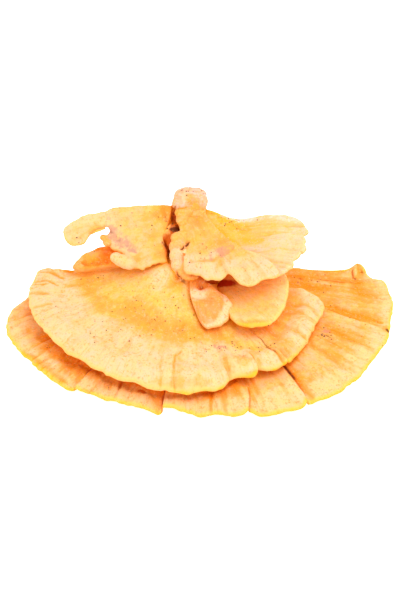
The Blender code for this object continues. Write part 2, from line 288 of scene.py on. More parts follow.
def near_line(x, y, points, width):
    """1 on a line through a few points and 0 well beside it, with narrow ends."""
    gap, place = from_line(np.stack([x, y], -1), points)
    taper = np.clip(4 * place * (1 - place), THINNEST_END, 1) ** END_BLUNTNESS
    return bell(gap, width * taper)


print("a trail fades to", near_line(np.array([5.0]), np.array([2.0]), [(0, 0), (10, 0)], 2.0))

# %% [markdown]
# All measures on a shelf are taken along its ribs: how long a rib is, how wide the shelf is at that
# place, and how far a point is from a side edge or from the line of a fold. A fold starts straight
# at the rim and wanders further in, as a real one does. The noise of each shelf starts from its own
# seed, and every use adds a number of its own, so no two patterns are alike.

# %% Measures along the ribs
LINE_WANDER = 1.6
STRAIGHT_MARGIN = 14.0  # distance from the rim over which a fold starts to wander


def as_line(run):
    """Places for noise that varies along one direction only."""
    return np.stack([run, 0 * run], -1)


class Ribs:
    """The ribs of a shelf, and distances on it, at given v and u."""

    def __init__(self, sheet):
        self.sheet = sheet
        self.root = Curve(sheet.root)
        self.rim = Curve(sheet.rim)
        self.folds = [(fold, self.rim.nearest(fold.at)) for fold in sheet.folds]
        self.grooves = [(groove, self.rim.nearest(groove.at)) for groove in sheet.grooves]

    def hills(self, points, size, seed):
        return hills(points, size, self.sheet.seed + seed)

    def rough(self, points, size, seed, layers=3):
        return rough(points, size, self.sheet.seed + seed, layers)

    def rib_length(self, v):
        return np.linalg.norm((self.rim.at(v) - self.root.at(v))[..., :2], axis=-1)

    def width(self, u):
        return self.root.length + (self.rim.length - self.root.length) * u

    def from_side(self, v, u):
        return np.minimum(v, 1 - v) * self.width(u)

    def apart(self, v, u, mark, at, from_rim):
        """Distance along the margin from the wandering line of a fold or a groove."""
        along = np.stack([from_rim, 0 * from_rim + 100 * at], -1)
        wander = LINE_WANDER * self.rough(along, 16.0, 5, 2) * smooth(from_rim / STRAIGHT_MARGIN)
        return (v - at) * self.width(u) - mark.skew * from_rim + wander


print("along a line:", as_line(np.array([1.0, 2.0])).tolist())

# %% [markdown]
# The form of a shelf comes next. Its margin waves up and down, its sections lap over each other at
# the folds, and the growing edge is wrinkled from the rim inwards. The valleys of the wrinkles, the
# folds and some smaller noise also bite into the outline, which makes the scallops. Sculpting by
# hand would give similar forms, but these can be measured and moved by a number.

# %% Waves, folds and wrinkles
WAVE_LENGTHS = (47.0, 29.0)
SECOND_WAVE = 0.6  # height of the shorter wave, as a share of the longer one
STILL_SHARE = 0.35  # share of the rib, from the root, that has no waves
FOLD_REACH = 11.0
FOLD_SHARPNESS = 0.9
FOLD_LEAN = 1.6  # how far the upper lip of a fold leans over the lower one
LEAN_REACH = 5.0
FULL_STEP = 2.0  # a fold that is at least this high leans fully
NICK_WIDTH = 3.0
WRINKLES = ((1.0, 0.65), (0.45, 0.35))  # (distance apart, part of the height), both as shares
WRINKLE_STRETCH = 6.0  # how much longer than wide a wrinkle is
WRINKLE_DRIFT = 2.5
RIDGE_LEVEL = 0.55  # how far the noise is from 0 where a ridge has its full height
RIDGE_ROUNDNESS = 0.7
RIDGE_MIDDLE = 1.2  # brings the mean height of the ridges down to about 0
VALLEY_LEVEL = 0.16  # how close the noise is to 0 in a valley
REACH_WANDER = 0.6  # how unevenly far the wrinkles reach
SCALLOPS = ((0.7, 9.0, 3), (0.5, 3.6, 4))  # (depth, length, seed) of the bites along the rim
RIM_WAVE = (0.6, 11.0, 9)  # (height, length, seed)
BITE = 0.8  # how much of its own depth a valley bites out of the rim


class Form(Ribs):
    """The form of a shelf, without its fine relief and its thickness."""

    def wrinkles(self, v, from_rim):
        """Radial valleys, 0 to 1, the ridges between them, -1 to 1, and their depth."""
        sheet = self.sheet
        run = v * self.rim.length
        drift = WRINKLE_DRIFT * self.hills(np.stack([run, from_rim], -1), 20.0, 7)
        height, valley = np.zeros_like(run), np.zeros_like(run)
        for size, share in WRINKLES:
            gap = size * sheet.wrinkle_gap
            fan = np.stack([(run + drift) / gap, from_rim / (WRINKLE_STRETCH * gap)], -1)
            wave = np.abs(self.hills(fan, 1.0, int(10 * gap)))
            height += share * (2 * np.clip(wave / RIDGE_LEVEL, 0, 1) ** RIDGE_ROUNDNESS - RIDGE_MIDDLE)
            valley += share * np.clip(1 - wave / VALLEY_LEVEL, 0, 1)
        reach = sheet.wrinkle_reach * (1 + REACH_WANDER * self.hills(as_line(run), 12, 0))
        inner = smooth((from_rim - 0.5 * reach) / (0.7 * reach))
        band = smooth((from_rim + 3.0) / 5.0) * (1 - inner)
        return valley * band, height * band, profile(sheet.wrinkle, v)

    def height(self, v, u, from_rim):
        """Waves and folds, with the sideways lean of the folds."""
        sheet = self.sheet
        run = v * self.rim.length
        wave = np.sin(2 * math.pi * run / WAVE_LENGTHS[0] + sheet.phase)
        wave = wave + SECOND_WAVE * np.sin(2 * math.pi * run / WAVE_LENGTHS[1])
        height = sheet.waves * wave * smooth((u - STILL_SHARE) / (1 - STILL_SHARE))
        lean = np.zeros_like(height)
        for fold, at in self.folds:
            apart = self.apart(v, u, fold, at, from_rim)
            lap = -np.tanh(apart / FOLD_SHARPNESS) * np.sign(fold.step)
            ramp = smooth((u - 1 + fold.length) / fold.length)
            height = height + abs(fold.step) * lap * bell(apart, FOLD_REACH) * ramp
            over = (1 + lap) / 2 * bell(apart, LEAN_REACH) * ramp
            lean = lean + np.sign(fold.step) * FOLD_LEAN * over * min(1, abs(fold.step) / FULL_STEP)
        return height, lean

    def outline(self, v, u, length, bitten):
        """The share of each rib that is left after the nicks, the scallops and the valleys."""
        share = np.array(u)
        for fold, at in self.folds:
            apart = (v - at) * self.rim.length
            share = share * (1 - fold.nick * bell(apart, NICK_WIDTH) / length * u**3)
        along = as_line(v * self.rim.length)
        scallop = sum(depth * self.hills(along, size, seed) for depth, size, seed in SCALLOPS)
        return share * (1 + (scallop - bitten) / length * u**4)

    def skeleton(self, v, u, length, from_rim, bitten):
        """The shelf without its fine relief and its thickness."""
        sheet = self.sheet
        root, rim = self.root.at(v), self.rim.at(v)
        rib = rim - root
        top = root + rib * self.outline(v, u, length, bitten)[..., None]
        across = np.stack([rib[..., 1], -rib[..., 0]], -1) / length[..., None]
        left = -sheet.bow[0] * np.clip(1 - v / sheet.bow_share, 0, 1) ** 2
        right = sheet.bow[1] * np.clip(1 - (1 - v) / sheet.bow_share, 0, 1) ** 2
        height, lean = self.height(v, u, from_rim)
        bend = (left + right) * np.sin(math.pi * u**sheet.bow_place)
        top[..., :2] += across * bend[..., None]
        top[..., :2] -= across * lean[..., None]
        forward = np.clip(-rib[..., 1] / length, 0, 1)
        top[..., 2] += profile(sheet.swell, u) + height + sheet.lift * forward * u**2
        high, size, seed = RIM_WAVE
        top[..., 2] += high * self.hills(as_line(v * self.rim.length), size, seed) * u**4
        return top


print("waves of the margin:", WAVE_LENGTHS, "mm long")

# %% [markdown]
# The colours follow the form. Flesh is pale along the growing margin and warmer towards the root,
# and it has stains, blushes and crumbs of dirt of its own. A fold gets painted shade: a dark orange
# line inside it and a softer orange beside it. Each of these is a mask, which is a number at every
# point of the mesh. The materials read the masks later, so one recipe can colour every shelf.

# %% Masks for the colours
# The dark line inside a fold and the orange beside it are painted shade.
SHADED_STEP = 1.5  # a fold that is at least this high is dark inside
SHADE_PLACE, SHADE_WIDTH = 0.9, 1.1  # of the dark line in a fold, on its lower side
SHADE_BESIDE, SHADE_BESIDE_REACH = 0.7, 6.0  # the orange beside a fold
ZONE_WANDER = 5.0  # how far the border of the pale margin wanders
PALE_SHIFT = 4.0
RING_PLACE = 9.0  # distance inside the pale margin
RING_WIDTH = 11.0
BLUSH_FROM = 6.0  # distance from the rim at which the blush begins
TRAIL_DRIFT = (0.5, 0.2)  # how far a trail wanders: always, and for each mm of its width
PATCH_WAVE = 7.0  # length of the waves in the outline of a patch


class Marks(Form):
    """The trails of a shelf, and its masks for colour."""

    def trails(self, x, y, flat):
        """Each trail with its share, 0 to 1, at each point."""
        found = []
        drift = [self.rough(flat, 6, seed, 2) for seed in (80, 81)]
        for trail in self.sheet.trails:
            reach = TRAIL_DRIFT[0] + TRAIL_DRIFT[1] * trail.width
            places = (x + reach * drift[0], y + reach * drift[1])
            found.append((trail, near_line(*places, trail.points, trail.width)))
        return found

    def masks(self, v, u, flat, from_rim, groove_shade, trails):
        """What the materials need to know at each point."""
        sheet = self.sheet
        inside = from_rim + ZONE_WANDER * self.rough(flat, 16, 40) - profile(sheet.band, v)
        pale = 1 - smooth((inside + PALE_SHIFT) / sheet.zone)
        warm = profile(sheet.blush, v) * smooth((from_rim - BLUSH_FROM) / sheet.blush_reach)
        warm = warm + sheet.ring * bell(inside - RING_PLACE, RING_WIDTH)
        shade = groove_shade
        for fold, at in self.folds:
            apart = self.apart(v, u, fold, at, from_rim) * np.sign(fold.step)
            ramp = smooth((u - 1 + fold.length) / (0.5 * fold.length))
            strength = fold.shade * min(1, abs(fold.step) / SHADED_STEP)
            beside = np.where(apart > 0, np.exp(-apart / SHADE_BESIDE_REACH), 0.0)
            dark = bell(apart - SHADE_PLACE, SHADE_WIDTH)
            shade = np.maximum(shade, dark * ramp * strength)
            warm = warm + SHADE_BESIDE * beside * ramp * strength
        masks = {"warm": warm, "pale": pale, "fold": shade, "stain": 0 * pale, "hole": 0 * pale}
        for patch in sheet.patches:
            drift = patch.ragged * min(patch.size)
            xs = flat[..., 0] + drift * self.rough(flat, PATCH_WAVE, 50)
            ys = flat[..., 1] + drift * self.rough(flat, PATCH_WAVE, 60)
            mark = patch.strength * blob(xs, ys, patch.at, patch.size, patch.turn)
            masks[patch.kind] = masks[patch.kind] + mark
        for trail, share in trails:
            masks[trail.kind] = masks[trail.kind] + trail.strength * share
        masks["rim"] = np.minimum(from_rim, self.from_side(v, u))
        run = v * self.rim.length
        masks["fan"] = np.stack([run, from_rim, 0 * run], -1)
        return masks


print("a trail of 4 mm wanders by", TRAIL_DRIFT[0] + TRAIL_DRIFT[1] * 4, "mm")

# %% [markdown]
# Now both sides of the shelf. The upper side is the form with its fine relief: lumps, grains,
# dimples, grooves, mounds and trails. The lower side hangs the thickness below it, and both close
# to one line at the rim. The relief fades towards that line, so the two sides always meet.

# %% The two sides of a shelf
EDGE_LEVEL = 0.35  # share of the thickness that hangs below the line of the margin
LIP = 3.4  # thickness of the flesh at the margin
THICKENS_OVER = 22.0  # distance from a side edge over which the flesh gets its full thickness
SMALLEST_LIFT = 0.25  # height above the ground that no flesh goes below
LUMPS = ((1.1, 26, 20, 2), (0.45, 7, 30, 3))  # (height, distance apart, seed, layers)
GRAINS = (0.22, 3.2, 90, 2)
DIMPLES = (5.0, 70)  # (distance apart, seed)
DIMPLE_LEVEL, DIMPLE_RANGE = 0.62, 0.3  # noise that is higher than the level makes a dimple
DIMPLE_DEPTH = 0.5
GROOVE_RAMP = 0.4  # share of a groove's length over which it gets its full depth
GROOVE_END = 0.04  # share of the rib over which it ends at the rim
# A groove's darkness is painted shade.
DARK_GROOVE = 1.2  # depth at which a groove is fully dark


class Surface(Marks):
    """The upper and the lower side of a shelf."""

    def relief(self, v, u, x, y, from_rim, ridges):
        """The height of the fine relief, with what the masks need of it."""
        sheet = self.sheet
        flat = np.stack([x, y], -1)
        detail = sum(high * self.rough(flat, *kind) for high, *kind in LUMPS)
        high, *kind = GRAINS
        detail = sheet.lumpy * detail + high * self.rough(flat, *kind) + ridges
        dimple = np.clip((self.hills(flat, *DIMPLES) - DIMPLE_LEVEL) / DIMPLE_RANGE, 0, 1)
        detail = detail - DIMPLE_DEPTH * dimple
        groove_shade = np.zeros_like(detail)
        for groove, at in self.grooves:
            apart = self.apart(v, u, groove, at, from_rim)
            ramp = smooth((u - 1 + groove.length) / (GROOVE_RAMP * groove.length))
            ramp = ramp * smooth((1 - u) / GROOVE_END + 0.5)
            channel = bell(apart, groove.width) * ramp
            detail = detail - groove.depth * channel
            groove_shade = np.maximum(groove_shade, channel * min(1, groove.depth / DARK_GROOVE))
        for mound in sheet.mounds:
            detail = detail + mound.height * blob(x, y, mound.at, mound.size, mound.turn)
        trails = self.trails(x, y, flat)
        for trail, share in trails:
            detail = detail + trail.rise * share
        return detail, dimple, groove_shade, trails

    def sides(self, v, u, side, margin):
        """Upper and lower points and the colour masks of a grid of v and u."""
        sheet = self.sheet
        length = self.rib_length(v)
        from_rim = (1 - u) * length
        valley, ridge, depth = self.wrinkles(v, from_rim)
        top = self.skeleton(v, u, length, from_rim, BITE * valley * depth)

        x, y = top[..., 0], top[..., 1]
        flat = np.stack([x, y], -1)
        detail, dimple, groove_shade, trails = self.relief(v, u, x, y, from_rim, depth * ridge)
        top[..., 2] += detail * side * margin

        body = smooth(self.from_side(v, u) / THICKENS_OVER)
        thick = LIP + (profile(sheet.thickness, u) - LIP) * body
        edge = top[..., 2] - thick * (1 - EDGE_LEVEL)
        full = side * margin
        bottom = top.copy()
        bottom[..., 2] = edge - thick * EDGE_LEVEL * full
        top[..., 2] = edge + thick * (1 - EDGE_LEVEL) * full
        bottom[..., 2] = np.maximum(bottom[..., 2], SMALLEST_LIFT)
        top[..., 2] = np.maximum(top[..., 2], bottom[..., 2])

        masks = self.masks(v, u, flat, from_rim, groove_shade, trails)
        # The valley mask carries painted shade for the wrinkle valleys and dimples, and the crest mask
        # a painted highlight for the ridges.
        masks["valley"] = np.maximum(valley * np.minimum(depth, 1), 0.5 * dimple)
        masks["crest"] = np.clip(ridge, 0, 1) * np.minimum(depth, 1)
        return top, bottom, masks


print("the lip is", LIP, "mm thick")

# %% [markdown]
# The grid of a shelf is close together where the edge turns over, so that the lip is round, and
# has two extra columns beside each fold. The lower side is seldom seen from near, so it takes only
# every second row, and the faces at the side edges join the fine rows to the coarse ones.

# %% From a surface to a grid
RIM_ROUNDING = 2.8
SIDE_ROUNDING = 3.5
EDGE_STEPS = 5
LOWER_STEP = 2
BESIDE_FOLD = 0.8  # where the extra columns stand, as a share of the sharpness of a fold
CLEAR_OF_FOLD = 1.6  # how far from a fold the plain columns keep, as a share of that
PORELESS_MARGIN = 3.0  # width of the yellow border round the pores of the lower side
PORES_OVER = 4.0


def edge_stations(rounding):
    """(distance from the edge, share of the full thickness) round an elliptical lip."""
    turns = np.linspace(0, math.pi / 2, EDGE_STEPS + 1)
    return rounding * (1 - np.cos(turns)), np.sin(turns)


def columns_of(surface):
    """The v of each column and its share of the full thickness."""
    inset, full = edge_stations(SIDE_ROUNDING)
    inset = inset / surface.rim.length
    count = int(surface.rim.length / surface.sheet.grain)
    middle = np.linspace(inset[-1], 1 - inset[-1], count)
    beside = FOLD_SHARPNESS * BESIDE_FOLD / surface.rim.length
    for _, at in surface.folds:
        middle = middle[abs(middle - at) > CLEAR_OF_FOLD * beside]
        middle = np.append(middle, [at - beside, at, at + beside])
    ends, thin = inset[:-1], full[:-1]
    v = np.concatenate([ends, np.sort(middle), 1 - ends[::-1]])
    return v, np.concatenate([thin, np.ones(len(middle)), thin[::-1]])


def grid_points(surface):
    """All points of a shelf's grid, with the indices of its upper and lower sides."""
    v, side = columns_of(surface)
    length = surface.rib_length(v)[:, None]
    rows = int(length.mean() / surface.sheet.grain)
    inset, full = edge_stations(RIM_ROUNDING)
    flat = np.linspace(0, 1, rows)[None, :] * (1 - RIM_ROUNDING / length)
    u = np.hstack([flat, 1 - inset[:-1][::-1][None, :] / length])
    margin = np.concatenate([np.ones(rows), full[:-1][::-1]])[None, :] + 0 * u
    top, bottom, masks = surface.sides(v[:, None] + 0 * u, u, side[:, None] + 0 * u, margin)

    count_v, count_u = u.shape
    upper = np.arange(count_v * count_u).reshape(count_v, count_u)
    kept = sorted(set(range(0, rows, LOWER_STEP)) | set(range(rows - 1, count_u)))
    lower = upper[:, kept].copy()
    inner = (count_v - 2) * (len(kept) - 1)
    lower[1:-1, :-1] = upper.size + np.arange(inner).reshape(count_v - 2, -1)
    below = bottom[1:-1, kept[:-1]]
    points = np.vstack([top.reshape(-1, 3), below.reshape(-1, 3)])
    values = {}
    for name, mask in masks.items():
        flat_shape = (-1,) + mask.shape[2:]
        under = mask[1:-1, kept[:-1]].reshape(flat_shape)
        under = -under if name == "rim" else under
        values[name] = np.concatenate([mask.reshape(flat_shape), under])
    pored = smooth((-values["rim"][upper.size :] - PORELESS_MARGIN) / PORES_OVER)
    values["under"] = np.concatenate([np.zeros(upper.size), pored])
    return points, values, upper, lower, kept


def grid_faces(upper, lower, kept):
    """Faces of the upper side, the lower side and the cap at the root."""
    quads = [
        np.stack([upper[:-1, :-1], upper[:-1, 1:], upper[1:, 1:], upper[1:, :-1]], -1),
        np.stack([lower[1:-2, :-1], lower[2:-1, :-1], lower[2:-1, 1:], lower[1:-2, 1:]], -1),
        np.stack([upper[1:-2, 0], upper[2:-1, 0], lower[2:-1, 0], lower[1:-2, 0]], -1),
    ]
    faces = [q for block in quads for q in block.reshape(-1, 4).tolist()]
    for k in range(len(kept) - 1):
        between = range(kept[k] + 1, kept[k + 1])
        first = [upper[0, j] for j in reversed(between)]
        last = [upper[-1, j] for j in between]
        faces.append([lower[0, k], lower[1, k], lower[1, k + 1], lower[0, k + 1]] + first)
        faces.append([lower[-2, k], lower[-1, k]] + last + [lower[-1, k + 1], lower[-2, k + 1]])
    faces.append([upper[0, 0], upper[1, 0], lower[1, 0]])
    faces.append([upper[-2, 0], upper[-1, 0], lower[-2, 0]])
    return [list(dict.fromkeys(int(i) for i in face)) for face in faces]


print("the lip turns over at", edge_stations(RIM_ROUNDING)[0], "mm from its edge")

# %% [markdown]
# The cracks between the neck and the crown are dark with brown dust and shade, and both are painted
# into the flesh. A crack crosses several pieces, so it is a line in space and not a mark on one
# shelf: wherever flesh comes near the line, it is darkened, and a wider ring round it gets orange
# painted shade.

# %% Dust and shade in the cracks
# Each crack below is darkened with dust and painted shade together.
CREVICES = [  # cracks with brown dust in them: radius, strength, places along the crack
    (2.6, 0.8, (-11.5, -12.8, 104), (-12.5, -11, 99), (-13.5, -9.5, 92), (-14.5, -11, 87),
     (-13.5, -20, 87)),
    (3.4, 1.4, (-16, -21.8, 86.9), (-11.3, -20.6, 86.1), (-6, -19.5, 85)),
    (2.2, 0.9, (-23, -29, 79), (-21, -30.4, 78), (-17, -32.8, 74), (-17.6, -32.3, 68), (-18, -39, 66)),
    (2.0, 1.15, (1, -36.8, 85), (-2.2, -39.2, 82.7), (-4.6, -41.4, 81.8), (-8, -43, 80.5)),
    (2.6, 0.9, (-12, -53, 68), (-8, -55.2, 61), (-4.5, -57.5, 58.8), (1, -61, 58.5)),
]
# Where a crack is darkest the flesh is also sunk, and a wider ring of orange painted shade lies round
# it.
SUNK = 0.9  # how deep the flesh is sunk where the dust is thickest
HALO = 2.4  # how much further the flesh round a crack has turned orange
HALO_STRENGTH = 0.55
CRACK_WANDER = 0.5
THINNEST_CRACK = 0.2


def dust_and_shade(points, spread=1.0):
    """How dark each point is with dust and painted shade."""
    most = np.zeros(len(points))
    adrift = points + CRACK_WANDER * rough(points, 4, 131, 2)[:, None]
    ragged = 0.75 + 0.5 * rough(points, 2.6, 141, 2)
    for radius, strength, *line in CREVICES:
        gap, place = from_line(adrift, line)
        width = spread * radius * ragged * (0.25 + 0.75 * np.sqrt(4 * place * (1 - place)))
        most = np.maximum(most, strength * bell(gap, np.maximum(width, THINNEST_CRACK)))
    return most


def add_crack_dust_and_shade(values, points):
    """Adds the dust and painted shade of the cracks, and the orange painted shade round them, to the
    masks.
    """
    values["hole"] = values["hole"] + dust_and_shade(points)
    values["fold"] = values["fold"] + HALO_STRENGTH * dust_and_shade(points, HALO)


print("dust in the middle of a crack:", dust_and_shade(np.array([[-11.3, -20.6, 86.1]])))

# %% [markdown]
# A mesh is made straight from the points and faces, and the masks are kept on it as attributes of
# its points. Painting them by hand would do as well, but these follow the form wherever it goes.

# %% An object with its masks
def store(mesh, values):
    """Keeps the masks on the mesh, where the materials can read them."""
    for name, value in values.items():
        kind, part = ("FLOAT_VECTOR", "vector") if value.ndim > 1 else ("FLOAT", "value")
        layer = mesh.attributes.new(name, kind, "POINT")
        layer.data.foreach_set(part, np.ascontiguousarray(value, np.float32).ravel())


def object_of(name, points, faces, values):
    """An object from points in millimetres, faces and masks."""
    mesh = bpy.data.meshes.new(name)
    mesh.from_pydata((points * MM).tolist(), [], faces)
    if values:
        add_crack_dust_and_shade(values, points)
    store(mesh, values)
    mesh.shade_smooth()
    obj = bpy.data.objects.new(name, mesh)
    bpy.context.scene.collection.objects.link(obj)
    return obj


def form_of(sheet):
    """The points, faces and masks of a shelf."""
    points, values, upper, lower, kept = grid_points(Surface(sheet))
    return points, grid_faces(upper, lower, kept), values


def grow(sheet):
    """A finished shelf, as an object."""
    points, faces, values = form_of(sheet)
    print(sheet.name, len(points), "points")
    return object_of(sheet.name, points, faces, values)


# %% [markdown]
# Shader maths is easier to read as a sum than as a tangle of nodes. A small class wraps a socket,
# so that an expression such as 1 - mask * 0.5 adds its own Math nodes. Colours go through Mix
# nodes instead, because a Math node would turn them grey.

# %% Shader sockets that can be calculated with
class Value:
    """A number that varies over the surface."""

    def __init__(self, paint, socket):
        self.paint = paint
        self.socket = socket

    def maths(self, operation, a, b):
        return self.paint.node("Math", {"operation": operation}, {0: a, 1: b})

    def __add__(self, other):
        return self.maths("ADD", self, other)

    def __sub__(self, other):
        return self.maths("SUBTRACT", self, other)

    def __rsub__(self, other):
        return self.maths("SUBTRACT", other, self)

    def __mul__(self, other):
        return self.maths("MULTIPLY", self, other)

    __radd__ = __add__
    __rmul__ = __mul__


class Paint:
    """One material: a Principled shader and the nodes that feed it."""

    def __init__(self, name):
        self.material = bpy.data.materials.new(name)
        self.material.use_nodes = True
        self.tree = self.material.node_tree
        self.shader = self.tree.nodes["Principled BSDF"]

    def node(self, kind, settings, sockets, output=0):
        """A new node with its settings and inputs, read at one of its outputs."""
        made = self.tree.nodes.new("ShaderNode" + kind)
        for key, value in settings.items():
            setattr(made, key, value)
        for key, value in sockets.items():
            self.feed(made.inputs[key], value)
        return Value(self, made.outputs[output])

    def feed(self, socket, value):
        if isinstance(value, Value):
            self.tree.links.new(value.socket, socket)
        elif isinstance(value, tuple) and len(value) == 3 and socket.type == "RGBA":
            socket.default_value = (*value, 1.0)
        else:
            socket.default_value = value

    def mask(self, name):
        """A mask that is kept on the mesh."""
        return self.node("Attribute", {"attribute_name": name}, {}, "Fac")

    def fan(self, across, outwards):
        """Places along the rim and in from it, closer together by these factors."""
        read = self.node("Attribute", {"attribute_name": "fan"}, {}, "Vector")
        factors = {0: read, 1: (across, outwards, 1.0)}
        return self.node("VectorMath", {"operation": "MULTIPLY"}, factors)

    def place(self):
        return self.node("TexCoord", {}, {}, "Object")

    def noise(self, vector, scale, detail):
        return self.node("TexNoise", {}, {"Vector": vector, "Scale": scale, "Detail": detail}, "Fac")

    def cells(self, vector, scale):
        return self.node("TexVoronoi", {}, {"Vector": vector, "Scale": scale}, "Distance")

    def rise(self, x, low, high):
        """0 where x is under low, 1 over high, and an easy S between."""
        ends = {"Value": x, "From Min": low, "From Max": high}
        return self.node("MapRange", {"interpolation_type": "SMOOTHSTEP"}, ends)

    def mix(self, a, b, factor, blend="MIX"):
        settings = {"data_type": "RGBA", "blend_type": blend}
        return self.node("Mix", settings, {0: factor, 6: a, 7: b}, 2)

    def bump(self, height, strength, distance):
        return self.node("Bump", {}, {"Height": height, "Strength": strength, "Distance": distance})

    def finish(self, sockets):
        """Feeds the sockets of the shader by name."""
        for name, value in sockets.items():
            self.feed(self.shader.inputs[name], value)
        return self.material


def colour(red, green, blue):
    """A screen colour from 0 to 255 as the linear light that a shader takes."""
    shares = [c / 255 for c in (red, green, blue)]
    return tuple(c / 12.92 if c <= 0.04045 else ((c + 0.055) / 1.055) ** 2.4 for c in shares)


print("white is", colour(255, 255, 255))

# %% [markdown]
# Real flesh of this fungus is golden where it is thick and cream where it still grows, with a
# sulphur yellow edge; the dark orange in its folds is painted shade. The shelves differ in these
# colours and in how strongly they are patterned, so each has a palette. Tints that multiply the
# colour are the same for all.

# %% Palettes
@dataclass
class Palette:
    """Screen colours from 0 to 255, and how strongly they are patterned."""

    ground: tuple
    amber: tuple
    warm: tuple
    pale: tuple
    rim: tuple
    # fold is the colour of painted shade in folds, grooves and cracks and under other shelves
    fold: tuple = (190, 82, 4)
    stain: tuple = (204, 138, 108)
    streaks: float = 0.5  # contrast of the threads
    blotch: float = 0.5  # contrast of the cloudy patches
    rim_width: float = 2.2

    def __post_init__(self):
        for name, value in vars(self).items():
            if isinstance(value, tuple):
                setattr(self, name, colour(*value))


# The first colour below darkens real dirt spots and also paints shade into the darkest cracks and
# folds.
DIRT_AND_SHADE = colour(104, 46, 8)
SPECK = colour(150, 96, 50)
DASH = colour(212, 152, 66)
UNDERSIDE = colour(248, 190, 97)
PORE = colour(232, 156, 61)
GOLD = colour(250, 182, 34)  # the margin of flesh that is orange
HOLLOW_TINT = (0.97, 0.70, 0.12)  # what is left of the light after its bounces in a hollow
LIP_TINT = (0.84, 0.82, 0.78)  # the turned down lip gets less light
SULPHUR_TINT = (1.0, 1.03, 0.79)
PEACH_TINT = (1.0, 0.995, 1.20)
GRAIN_TINT = (0.74, 0.90, 0.80)  # what the finest dark grain leaves
HAIR_TINT = (0.78, 0.80, 0.66)  # what the fine dark threads leave
print("sulphur edge:", GOLD)

# %% [markdown]
# One recipe serves all shelves. Streaks follow the fan, because the flesh is made of threads that
# grow outwards. Each layer of colour lies over the ones before it, with a mask that says where. The
# layers for the valleys, folds and hollows are painted shade, the one for the crests is a painted
# highlight, and the dirt layer is partly painted shade. Very fine dimples and grain are bump, and the
# underside has the tiny pores of a bracket fungus.

# %% The recipe for flesh
HAIR_SHARE = 0.6
THREADS = (0.26, 0.020)  # how often a pattern repeats in a millimetre, across and outwards
STRANDS = (0.085, 0.011)
HAIRS = (0.85, 0.05)
DASHES = (0.30, 0.10)
PORES = (2.2, 2.2)
FRESH_OVER = (30.0, 80.0)  # distances from the rim over which the threads fade
BUMP_HEIGHT = 0.0008


